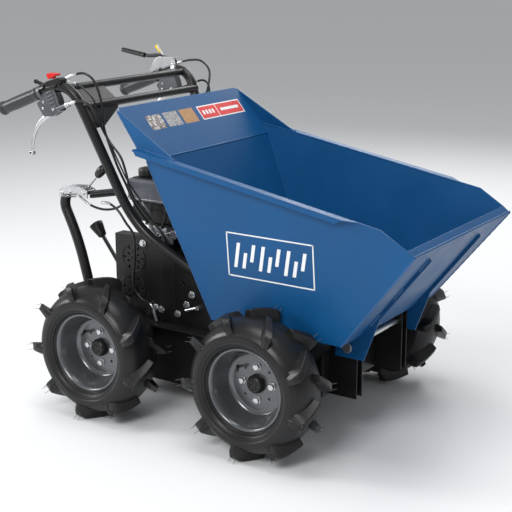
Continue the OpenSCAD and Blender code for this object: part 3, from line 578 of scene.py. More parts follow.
@dataclass
class Maker:
    """Turns meshes into pieces that ride on a body."""

    count: int = 0

    def piece(self, name: str, shape: Shape | bpy.types.Mesh, body: str, slot: str,
              finish: Finish | StonePrint | None = None, bevel: float = 0.0, segments: int = 2,
              replaces: Sequence[str] = ()) -> bpy.types.Object:
        """Makes a piece.

        Args:
            name: The piece's name.
            shape: Its shape or mesh.
            body: The body that it rides on.
            slot: The record's slot that the finish stands for.
            finish: Its finish, where its slot's own isn't meant.
            bevel: The radius of its edges, in metres.
            segments: Flats across each rounded edge.
            replaces: The CAD nodes that it stands for.

        Returns:
            The new object.
        """
        mesh = shape.mesh(name) if isinstance(shape, Shape) else shape
        mesh.materials.clear()
        mesh.materials.append((finish or Finishes.BY_SLOT[slot]).material())
        mesh.shade_smooth()
        mesh.set_sharp_from_angle(angle=math.radians(38))
        made = bpy.data.objects.new(name, mesh)
        bpy.context.scene.collection.objects.link(made)
        if bevel:
            rounding = made.modifiers.new("rounded_edges", "BEVEL")
            rounding.width = bevel
            rounding.segments = segments
            rounding.limit_method = "ANGLE"
            rounding.angle_limit = math.radians(32)
            rounding.harden_normals = True
            rounding.use_clamp_overlap = False
        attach(made, body)
        if replaces:
            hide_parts(*replaces)
        self.count += 1
        LOG.info("%s on %s", name, body)
        return made

    def softened(self, node: str, bevel: float, finish: Finish | None = None) -> bpy.types.Object:
        """Makes a piece with rounded edges from a CAD node's own shape.

        Args:
            node: The CAD node.
            bevel: The radius of its edges, in metres.
            finish: Its finish, where its slot's own isn't meant.

        Returns:
            The new object.
        """
        source = frame["nodes"][node]
        work = bmesh.new()
        work.from_mesh(source.data)
        bmesh.ops.remove_doubles(work, verts=work.verts, dist=0.00001)
        bmesh.ops.dissolve_limit(work, angle_limit=math.radians(0.6), verts=work.verts, edges=work.edges)
        work.verts.index_update()
        mesh = bpy.data.meshes.new(node + "_shell")
        mesh.from_pydata([v.co[:] for v in work.verts], [], [[v.index for v in f.verts] for f in work.faces])
        work.free()
        return self.piece(node + "_shell", mesh, source["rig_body"], SLOTS[node], finish, bevel,
                          replaces=(node,))

    def dress(self, node: str) -> None:
        """Gives a CAD node that stays the finish of its slot."""
        mesh = frame["nodes"][node].data
        mesh.materials.clear()
        mesh.materials.append(Finishes.BY_SLOT[SLOTS[node]].material())


MAKER = Maker()
SLOTS = {s["node"]: s["material_slot"] for s in frame["record"]["subparts"]}


def middle(node: str) -> Vector:
    """Returns the middle of a CAD node's box."""
    low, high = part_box(node)
    return (Vector(low) + Vector(high)) / 2


# ---- sub-assemblies ----


@dataclass
class Studio:
    """Camera, floor and soft lights."""

    position: tuple = (1.5963, -2.3984, 1.1273)
    azimuth: float = math.radians(33.646)
    elevation: float = math.radians(14.826)
    roll: float = math.radians(-0.158)
    lens: float = 83.27
    shift: tuple = (0.0190, 0.0041)
    floor_half: float = 60.0
    lights: dict = field(default_factory=lambda: {
        "key_softbox": ((0.6, -3.0, 2.4), 1.2, 58.0),
        "side_softbox": ((-3.0, -1.6, 1.6), 1.0, 52.0),
        "rear_softbox": ((-0.6, 3.0, 2.4), 1.6, 40.0),
        "top_softbox": ((0.1, -0.2, 3.4), 1.6, 44.0),
    })

    def build(self) -> None:
        """Makes the camera first, then the floor and the lights."""
        self.camera()
        self.floor()
        for name, (place, size, power) in self.lights.items():
            light = bpy.data.lights.new(name, "AREA")
            light.size = size
            light.energy = power
            holder = bpy.data.objects.new(name, light)
            holder.location = place
            holder.rotation_euler = (Vector(place) - Vector((0, 0, 0.35))).to_track_quat("Z", "Y").to_euler()
            bpy.context.scene.collection.objects.link(holder)
        world = bpy.data.worlds.new("pale_room")
        world.use_nodes = True
        world.node_tree.nodes["Background"].inputs[0].default_value = (0.96, 0.98, 1.0, 1.0)
        world.node_tree.nodes["Background"].inputs[1].default_value = 0.42
        bpy.context.scene.world = world
        bpy.context.scene.view_settings.view_transform = "Standard"

    def camera(self) -> None:
        """Makes the camera from its position, direction and lens."""
        data = bpy.data.cameras.new("camera")
        data.lens = self.lens
        data.shift_x, data.shift_y = self.shift
        data.clip_end = 200
        made = bpy.data.objects.new("camera", data)
        back = Vector((math.sin(self.azimuth) * math.cos(self.elevation),
                       -math.cos(self.azimuth) * math.cos(self.elevation), math.sin(self.elevation)))
        right = Vector((math.cos(self.azimuth), math.sin(self.azimuth), 0))
        turn = Matrix((right, back.cross(right), back)).transposed() @ Matrix.Rotation(self.roll, 3, "Z")
        made.matrix_world = Matrix.Translation(self.position) @ turn.to_4x4()
        bpy.context.scene.collection.objects.link(made)
        bpy.context.scene.camera = made

    def floor(self) -> None:
        """Makes the pale floor, which isn't part of the object."""
        half = self.floor_half
        mesh = bpy.data.meshes.new("floor")
        corners = [(-half, -half, 0), (half, -half, 0), (half, half, 0), (-half, half, 0)]
        mesh.from_pydata(corners, [], [(0, 1, 2, 3)])
        made = bpy.data.objects.new("floor", mesh)
        material = bpy.data.materials.new("pale_floor")
        material.use_nodes = True
        material.node_tree.nodes["Principled BSDF"].inputs["Base Color"].default_value = (0.86, 0.87, 0.88, 1)
        material.node_tree.nodes["Principled BSDF"].inputs["Roughness"].default_value = 0.7
        mesh.materials.append(material)
        bpy.context.scene.collection.objects.link(made)


@dataclass
class Wheel:
    """One wheel: tyre with chevron lugs, pressed rim, bolts and hub cap."""

    axle: str
    side: str
    lugs: int = 9
    crown: float = 157 * MM
    carcass_mid: float = 122 * MM
    half_width: float = 61 * MM
    outer: float = 173 * MM
    rim_radius: float = 96 * MM
    rim_half: float = 46 * MM
    well_radius: float = 74.5 * MM
    disc_depth: float = -9 * MM
    bolt_circle: float = 40 * MM
    skew: float = math.tan(math.radians(35))

    def __post_init__(self) -> None:
        """Works out the wheel's place from its tyre."""
        centre = middle(f"{self.axle}_tyre_{self.side}")
        centre.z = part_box(f"{self.axle}_tyre_{self.side}")[1][2] / 2
        outward = -1 if self.side == "right" else 1
        self.place = Matrix(((1, 0, 0, centre.x), (0, 0, outward, centre.y),
                             (0, 1, 0, centre.z), (0, 0, 0, 1)))
        self.body = f"{self.axle}_axle"
        self.name = f"{self.axle}_{self.side}"

    def build(self) -> None:
        """Makes every piece of the wheel."""
        self.tyre()
        self.rim()
        self.disc()
        self.fasteners()

    def carcass_point(self, degrees: float, grow: float = 0.0) -> tuple[float, float]:
        """Returns (radius, height) on the carcass at an angle round its section."""
        a = math.radians(degrees)
        return (self.carcass_mid + (35 * MM + grow) * math.cos(a), (self.half_width + grow) * math.sin(a))

    def tyre(self) -> None:
        """Makes the carcass with its sidewall ribs, the lugs and the moulding nibs."""
        ribs = {122: 1.5, 112: 1.1, 97: 1.0, 76: 0.7}
        outline = [(self.rim_radius - 6 * MM, -24 * MM), (self.rim_radius - 3.8 * MM, -40.2 * MM),
                   (self.rim_radius + 0.3 * MM, -42.7 * MM)]
        for step in range(-88, 89):
            angle = step * 1.5
            if abs(angle) > 130:
                continue
            rise = sum(h * math.exp(-((abs(angle) - at) / 1.7) ** 2) for at, h in ribs.items())
            outline.append(self.carcass_point(angle, rise * MM))
        outline += [(self.rim_radius + 0.3 * MM, 42.7 * MM), (self.rim_radius - 3.8 * MM, 40.2 * MM),
                    (self.rim_radius - 6 * MM, 24 * MM)]
        inner = [(self.carcass_mid + 25 * MM * math.cos(math.radians(a)),
                  (self.half_width - 8 * MM) * math.sin(math.radians(a))) for a in range(110, -111, -20)]
        carcass = Shape().turn(outline + inner, self.place, 120, closed=True)
        MAKER.piece(f"{self.name}_carcass", carcass, self.body, "tyre_rubber",
                    replaces=(f"{self.axle}_tyre_{self.side}",))
        tread = Shape()
        nibs = Shape()
        for hand in (1, -1):
            for k in range(self.lugs):
                start = math.radians(-90 + 360 * (k + (0 if hand > 0 else 0.5)) / self.lugs)
                self.lug(tread, start, hand)
                self.nibs(nibs, start, hand)
        MAKER.piece(f"{self.name}_lugs", tread, self.body, "tyre_rubber",
                    bevel=2 * MM, segments=3)
        # The nibs get the light grey painted-highlight finish, not the tyre's black.
        MAKER.piece(f"{self.name}_nibs", nibs, self.body, "tyre_rubber", Finishes.NIB_HIGHLIGHT)

    def lug_angle(self, start: float, height: float) -> float:
        """Returns the angle of a lug's middle line at a height from the tyre's middle plane."""
        return start - (abs(height) - 30 * MM) * self.skew / (self.outer - 8 * MM)

    def lug(self, tread: Shape, start: float, hand: int) -> None:
        """Adds one lug, from the tread's middle down over the shoulder."""
        stations = [(2, 172.9, 7, 15), (16, 173, 7.5, 16), (30, 172.5, 8.5, 17), (43, 171, 9.5, 18.5),
                    (54, 168.5, 10.5, 19), (60, 162, 10.5, 18), (64, 150, 8, 15), (64, 140, 4, 10)]
        rings = []
        for height, top, half_top, half_base in stations:
            z = height * MM
            inside = min(0.999, z / self.half_width)
            base = self.carcass_mid + 35 * MM * math.sqrt(1 - inside ** 2) - 5 * MM
            base = min(base, top * MM - 5 * MM)
            middle_angle = self.lug_angle(start, z)
            ring = []
            for half, radius in ((-half_base, base), (-half_top, top * MM),
                                 (half_top, top * MM), (half_base, base)):
                angle = middle_angle + half * MM / self.outer
                drop = 8 * MM if radius == base and height > 58 else 0
                ring.append(self.place @ Vector((radius * math.cos(angle), radius * math.sin(angle),
                                                 hand * (z - drop))))
            rings.append(ring)
        tread.skin(rings)

    def nibs(self, nibs: Shape, start: float, hand: int) -> None:
        """Adds the two thin moulding nibs at a lug's shoulder."""
        for half in (-7, 7):
            angle = self.lug_angle(start, 58 * MM) + half * MM / self.outer
            path = []
            for radius, height in ((160, 56), (165, 62), (168.5, 68), (170.5, 72)):
                path.append(self.place @ Vector((radius * MM * math.cos(angle), radius * MM * math.sin(angle),
                                                 hand * height * MM)))
            nibs.sweep(path, [0.75 * MM, 0.6 * MM, 0.5 * MM, 0.35 * MM], 6,
                       across=self.place.to_3x3() @ Vector((-math.sin(angle), math.cos(angle), 0)))

    def rim(self) -> None:
        """Makes the rolled rim with its bead seats and dished wall."""
        r, half = self.rim_radius, self.rim_half
        lip = [(r - 1.5 * MM + 3.4 * MM * math.cos(math.radians(a)),
                half - 2.2 * MM + 2.6 * MM * math.sin(math.radians(a)))
               for a in range(-90, 136, 25)]
        front = lip + [(r - 5.5 * MM, half - 2.5 * MM), (r - 8 * MM, half - 6 * MM),
                       (r - 11 * MM, half - 16 * MM),
                       (r - 14.5 * MM, half - 28 * MM)]
        wall = [(self.well_radius + 4 * MM, 6 * MM)]
        for a in range(0, 91, 15):
            wall.append((self.well_radius + 2 * MM - 12 * MM * (1 - math.cos(math.radians(a))),
                         self.disc_depth + 10 * MM - 10 * MM * math.sin(math.radians(a))))
        well = self.well_radius
        back = [(well - 10 * MM, self.disc_depth - 3 * MM), (well - 2 * MM, self.disc_depth - 4 * MM),
                (well - 2 * MM, 20 * MM - half), (r - 19 * MM, 5 * MM - half), (r - 1 * MM, 1 * MM - half),
                (r + 1.5 * MM, -half), (r + 1.5 * MM, 3 * MM - half), (r - 15 * MM, 5 * MM - half),
                (r - 17.9 * MM, 9 * MM - half), (r - 16 * MM, 2 * MM), (r - 11.5 * MM, half - 27 * MM),
                (r - 7 * MM, half - 12 * MM), (r - 4.2 * MM, half - 5.6 * MM)]
        ring = Shape().turn(front + wall + back, self.place, 120, closed=True)
        MAKER.piece(f"{self.name}_rim", ring, self.body, "rim_grey",
                    bevel=0.6 * MM, replaces=(f"{self.axle}_rim_{self.side}",))

    def disc(self) -> None:
        """Makes the pressed disc, drilled for the bolts and with four vent holes between them."""
        data = bpy.data.curves.new(f"{self.name}_disc_outline", "CURVE")
        data.dimensions = "2D"
        data.fill_mode = "BOTH"
        data.extrude = 1.6 * MM
        data.bevel_depth = 0.8 * MM
        data.bevel_resolution = 2
        holes = [(self.bolt_circle, 5.1, 0.0), (self.bolt_circle + 5 * MM, 4.0, 45.0)]
        circles = [((0.0, 0.0), self.well_radius - 4 * MM, 72)]
        for radius, hole, offset in holes:
            for k in range(4):
                angle = math.radians(90 * k + offset)
                circles.append(((radius * math.cos(angle), radius * math.sin(angle)), hole * MM, 24))
        for (x, y), radius, count in circles:
            spline = data.splines.new("POLY")
            spline.points.add(count - 1)
            spline.use_cyclic_u = True
            for k, point in enumerate(spline.points):
                angle = math.tau * k / count
                point.co = (x + radius * math.cos(angle), y + radius * math.sin(angle), 0, 1)
        holder = bpy.data.objects.new(data.name, data)
        mesh = bpy.data.meshes.new_from_object(holder)
        mesh.name = f"{self.name}_disc"
        bpy.data.objects.remove(holder)
        mesh.transform(self.place @ Matrix.Translation((0, 0, self.disc_depth - 2.4 * MM)))
        if self.side == "left":
            mesh.flip_normals()
        MAKER.piece(f"{self.name}_disc", mesh, self.body, "rim_grey")

    def fasteners(self) -> None:
        """Makes the four bolts with washers, the hub cap and the tyre valve."""
        bolts = Shape()
        for k in range(4):
            angle = math.radians(90 * k)
            at = self.place @ Matrix.Translation((self.bolt_circle * math.cos(angle),
                                                  self.bolt_circle * math.sin(angle), self.disc_depth))
            bolts.turn(mm((5, -11), (5, 0), (9.5, 0), (9.5, 1.5), (4, 1.6)), at, 40)
            bolts.turn(mm((8.5, 1.2), (8.5, 6.6), (7.4, 8)), at, 6)
            bolts.turn(mm((7.2, 7.2), (7.0, 8.3), (5, 8.9), (1, 9.2)), at, 32)
        replaced = (f"{self.axle}_wheel_bolts",) if self.side == "right" else ()
        MAKER.piece(f"{self.name}_bolts", bolts, self.body, "zinc_steel",
                    bevel=0.4 * MM, replaces=replaced)
        section = mm((22, -9), (22, -1), (20.6, 2), (17.5, 6.5), (15, 8), (12.5, 8), (11, 5.5), (1, 5.5))
        cap = Shape().turn(section, self.place, 56)
        for k in range(6):
            at = self.place @ Matrix.Rotation(math.radians(60 * k), 4, "Z")
            cap.block((4 * MM, -1 * MM, 4 * MM), (11.5 * MM, 1 * MM, 7.2 * MM), at)
        MAKER.piece(f"{self.name}_hub_cap", cap, self.body, "control_black",
                    bevel=0.5 * MM)
        stem = (self.place @ Matrix.Translation((-52 * MM, 30 * MM, self.disc_depth))
                @ Matrix.Rotation(0.5, 4, "Y"))
        valve = Shape().turn(mm((4.5, 0), (3.6, 4), (3.2, 18), (4, 19), (4, 27), (2, 28)), stem, 20)
        MAKER.piece(f"{self.name}_valve", valve, self.body, "cable_black")


@dataclass
class Hopper:
    """Welded sheet-steel tub with its flanged rims, weld beads and printed labels."""

    sheet: float = 3 * MM
    back_x: float = 54 * MM
    floor_z: float = 272 * MM
    toe_x: float = 403 * MM
    nose: tuple = (587 * MM, 505 * MM)
    lip: tuple = (569 * MM, 519 * MM)
    corner: tuple = (508 * MM, 556 * MM)
    fold: tuple = (-104.02 * MM, 640 * MM)
    crest: tuple = (-200.05 * MM, 755 * MM)
    flange: float = 20 * MM
    rim_fall: float = 0.178
    floor_half: float = 226.4 * MM
    flare_along: float = 0.0178
    flare_up: float = 0.10
    guard_lean: float = 0.835
    gusset_reach: float = 72 * MM
    flange_end: float = 47 * MM
    flange_taper: float = 35 * MM
    body: str = "hopper"

    def __post_init__(self) -> None:
        """Works out where the rim meets the back guard."""
        lean = self.guard_lean
        rim = self.rim(0)
        x = (self.fold[0] + lean * (self.fold[1] - rim)) / (1 - lean * self.rim_fall)
        self.seat = (x, self.rim(x))

    def rim(self, x: float) -> float:
        """Returns the rim's height at a distance x along the machine."""
        return self.corner[1] + self.rim_fall * (self.corner[0] - x)

    def half(self, x: float, z: float) -> float:
        """Returns the tub's half width at (x, z)."""
        return self.floor_half + self.flare_along * x + self.flare_up * (z - self.floor_z)

    def wall(self, x: float, z: float, out: float = 0.0, side: int = -1) -> Vector:
        """Returns a point on a side wall, moved outwards by out."""
        return Vector((x, side * (self.half(x, z) + out), z))

    def across(self, a: Point, b: Point) -> list[Vector]:
        """Returns the four corners of a panel between two lines across the tub."""
        return [self.wall(*a), self.wall(*a, side=1), self.wall(*b, side=1), self.wall(*b)]

    def build(self) -> None:
        """Makes the tub, its folds, beads, tabs and labels."""
        self.tub()
        self.folds()
        self.beads()
        self.pivot_tabs()
        self.side_panels()
        self.load_labels()

    def tub(self) -> None:
        """Makes the sheet panels."""
        t = self.sheet
        back, toe = (self.back_x, self.floor_z), (self.toe_x, self.floor_z)
        over = (self.fold[0] - 1.2 * MM * 0.4294, self.fold[1] + 1.2 * MM)
        shape = Shape()
        shape.slab(self.across(back, toe), (0, 0, 1), t)
        shape.slab(self.across(toe, self.nose), (-1, 0, 1), t)
        shape.slab(self.across(self.nose, self.lip), (-1, 0, -1), t)
        shape.slab(self.across(back, over), (1, 0, 0), t)
        top = self.half(*self.seat) - 11 * MM
        cut = 12 * MM
        guard = [self.wall(*self.fold), self.wall(*self.seat)]
        guard += [Vector((self.crest[0] + 10 * MM, -top, self.crest[1] - cut)),
                  Vector((self.crest[0], -top + cut, self.crest[1]))]
        guard += [Vector((p.x, -p.y, p.z)) for p in reversed(guard)]
        shape.slab(guard, (1, 0, 0), t)
        end = self.corner[0] - self.flange_end
        for side in (-1, 1):
            outline = [back, toe, self.nose, self.lip, self.corner, self.seat, self.fold]
            shape.slab([self.wall(*p, side=side) for p in outline], (0, -side, 0), t)
            gusset_x = self.back_x - self.gusset_reach
            shape.slab([self.wall(*self.seat, side=side), self.wall(gusset_x, self.rim(gusset_x), side=side),
                        Vector((self.crest[0], side * top, self.crest[1]))], (0, -side, 0), t)
            near, far = end, end - self.flange_taper
            flat = [(self.seat[0], -t), (near, -t), (far, self.flange), (self.seat[0], self.flange)]
            shape.slab([self.wall(x, self.rim(x), out, side) for x, out in flat], (0, 0, -1), t)
            down = [self.wall(self.seat[0], self.seat[1], self.flange, side),
                    self.wall(far, self.rim(far), self.flange, side),
                    self.wall(far - 15 * MM, self.rim(far - 15 * MM) - 13 * MM, self.flange + 1.3 * MM, side),
                    self.wall(self.seat[0] + 9 * MM, self.rim(self.seat[0] + 9 * MM) - 13 * MM,
                              self.flange + 1.3 * MM, side)]
            shape.slab(down, (0, -side, 0), t)
        MAKER.piece("hopper_sheets", shape, self.body, "hopper_blue",
                    bevel=0.9 * MM, segments=2, replaces=("hopper_tub",))

    def folds(self) -> None:
        """Makes the rounded outsides of the folds in the sheet."""
        r = 2.6 * MM
        shape = Shape()
        for x, z in ((self.back_x, self.floor_z), (self.toe_x, self.floor_z), self.nose, self.fold):
            inset = Vector((r * (0.6 if x < self.toe_x else -0.6), 0, r * (0.7 if z < 0.6 else 0)))
            a, b = self.wall(x, z) + inset, self.wall(x, z, side=1) + inset
            shape.rod(a + Vector((0, 1 * MM, 0)), b - Vector((0, 1 * MM, 0)), r, 24)
        far = self.corner[0] - self.flange_end - self.flange_taper
        for side in (-1, 1):
            a = self.wall(self.seat[0], self.seat[1] - r, self.flange - r * 0.7, side)
            b = self.wall(far, self.rim(far) - r, self.flange - r * 0.7, side)
            shape.rod(a, b, r, 24)
            inner = [self.wall(x, self.rim(x) - 2.2 * MM, -1.8 * MM, side)
                     for x in (self.seat[0] + 4 * MM, self.corner[0] - self.flange_end)]
            shape.rod(inner[0], inner[1], 2.2 * MM, 24)
        MAKER.piece("hopper_folds", shape, self.body, "hopper_blue")

    def bead(self, shape: Shape, start: Vector, end: Vector, width: float) -> None:
        """Adds a weld bead with its ripples between two points."""
        length = (end - start).length
        count = max(8, int(length / (2.2 * MM)))
        path = [start.lerp(end, k / count) for k in range(count + 1)]
        radii = [width * (1 + 0.22 * math.sin(k * 2.4) + 0.12 * math.sin(k * 0.7)) for k in range(count + 1)]
        across = Vector((0, 1, 0)) if abs((end - start).normalized().y) < 0.9 else Vector((0, 0, 1))
        shape.sweep(path, radii, 8, across=across)

    def beads(self) -> None:
        """Makes the weld beads at the gussets, the tub's corners and the pivot tabs."""
        shape = Shape()
        gusset_x = self.back_x - self.gusset_reach
        for side in (-1, 1):
            lift = Vector((0, side * 0.5 * MM, 0.8 * MM))
            start_x = self.seat[0] + 6 * MM
            self.bead(shape, self.wall(start_x, self.rim(start_x), side=side) + lift,
                      self.wall(gusset_x, self.rim(gusset_x), side=side) + lift, 1.9 * MM)
            for a, b in ((self.fold, (self.back_x, self.floor_z)), ((self.toe_x, self.floor_z), self.nose)):
                self.bead(shape, self.wall(*a, -0.6 * MM, side), self.wall(*b, -0.6 * MM, side), 1.8 * MM)
            top = Vector((self.crest[0], side * (self.half(*self.seat) - 11 * MM), self.crest[1]))
            foot = self.wall(*self.seat, side=side)
            self.bead(shape, foot, top.lerp(foot, 0.08), 1.8 * MM)
            tab = side * 135.5 * MM
            for k in (0.12, 0.42, 0.74):
                ends = [Vector((lerp(self.toe_x, self.nose[0], share), tab,
                                lerp(self.floor_z, self.nose[1], share) - 1 * MM)) for share in (k, k + 0.13)]
                self.bead(shape, *ends, 2.4 * MM)
        MAKER.piece("hopper_weld_beads", shape, self.body, "hopper_blue", Finishes.BEAD)

    def pivot_tabs(self) -> None:
        """Rounds the plates that hold the tipping pin."""
        MAKER.softened("pivot_tabs", 0.8 * MM)

    def label_place(self, x: float, y: float, z: float, facing: Vector) -> Matrix:
        """Returns the place of a label whose own Z axis points along facing and whose X axis lies level."""
        up = facing.normalized()
        level = Vector((0, 0, 1)).cross(up).normalized()
        rise = up.cross(level)
        turn = Matrix((level, rise, up)).transposed().to_4x4()
        return Matrix.Translation((x, y, z)) @ turn

    def side_panels(self) -> None:
        """Makes a plain framed panel with slanted bars on each side wall."""
        for side, word in ((-1, "right"), (1, "left")):
            x, z = 228 * MM, 447 * MM
            facing = Vector((-self.flare_along, side, -self.flare_up))
            at = self.label_place(*self.wall(x, z, 0.2 * MM, side), facing)
            half_w, half_h, line = 116 * MM, 53 * MM, 3.2 * MM
            shape = Shape()
            thick = 0.35 * MM
            for low, high in (((-half_w, -half_h), (half_w, -half_h + line)),
                              ((-half_w, half_h - line), (half_w, half_h)),
                              ((-half_w, -half_h), (-half_w + line, half_h)),
                              ((half_w - line, -half_h), (half_w, half_h))):
                shape.block((*low, -thick), (*high, thick), at)
            for k in range(9):
                left = -half_w + 17 * MM + k * 22.5 * MM
                slant = 12 * MM
                low_z, high_z = -30 * MM, 30 * MM
                if k % 3 == 1:
                    low_z, high_z = -30 * MM, 8 * MM
                if k % 3 == 2:
                    low_z, high_z = -12 * MM, 30 * MM
                shift = slant * (high_z - low_z) / (60 * MM)
                corners = [(left, low_z), (left + 9 * MM, low_z),
                           (left + 9 * MM + shift, high_z), (left + shift, high_z)]
                shape.skin([[at @ Vector((px, py, pz)) for px, py in corners] for pz in (-thick, thick)])
            MAKER.piece(f"side_panel_{word}", shape, self.body, "control_grey", Finishes.WHITE)

    def load_labels(self) -> None:
        """Makes the three swatches of bulk goods and the red load label inside the back guard."""
        z_mid = 712 * MM
        lean = self.guard_lean
        x_mid = self.fold[0] - lean * (z_mid - self.fold[1])
        facing = Vector((1, 0, lean))
        surface = self.sheet
        thick = 0.3 * MM
        half_h = 20.5 * MM

        def plate(name: str, low: float, high: float, slot: str, finish: Finish | StonePrint | None = None,
                  lift: float = 0.0, share: float = 1.0) -> None:
            """Makes one label between two distances across the tub."""
            at = self.label_place(x_mid, 0, z_mid, facing) @ Matrix.Translation((0, 0, surface + lift))
            shape = Shape().block((low, -half_h * share, -thick), (high, half_h * share, thick), at)
            MAKER.piece(name, shape, self.body, slot, finish)

        for k, finish in enumerate((Finishes.COBBLES, Finishes.GRAVEL, Finishes.SAND)):
            left = (-176 + 66.5 * k) * MM
            plate(f"load_sample_{k + 1}", left, left + 57 * MM, "control_grey", finish)
        plate("load_label_border", 33 * MM, 221 * MM, "control_grey", Finishes.WHITE, lift=-0.1 * MM)
        plate("load_label_left", 36.5 * MM, 108 * MM, "signal_red",
              lift=0.15 * MM, share=0.84)
        plate("load_label_right", 111 * MM, 217.5 * MM, "signal_red",
              lift=0.15 * MM, share=0.84)
        for k in range(4):
            left = (46 + 13.5 * k) * MM
            plate(f"load_mark_{k + 1}", left, left + 8 * MM, "control_grey", Finishes.WHITE,
                  lift=0.35 * MM, share=0.3)
        plate("load_mark_bar", 124 * MM, 204 * MM, "control_grey", Finishes.WHITE, lift=0.35 * MM, share=0.2)


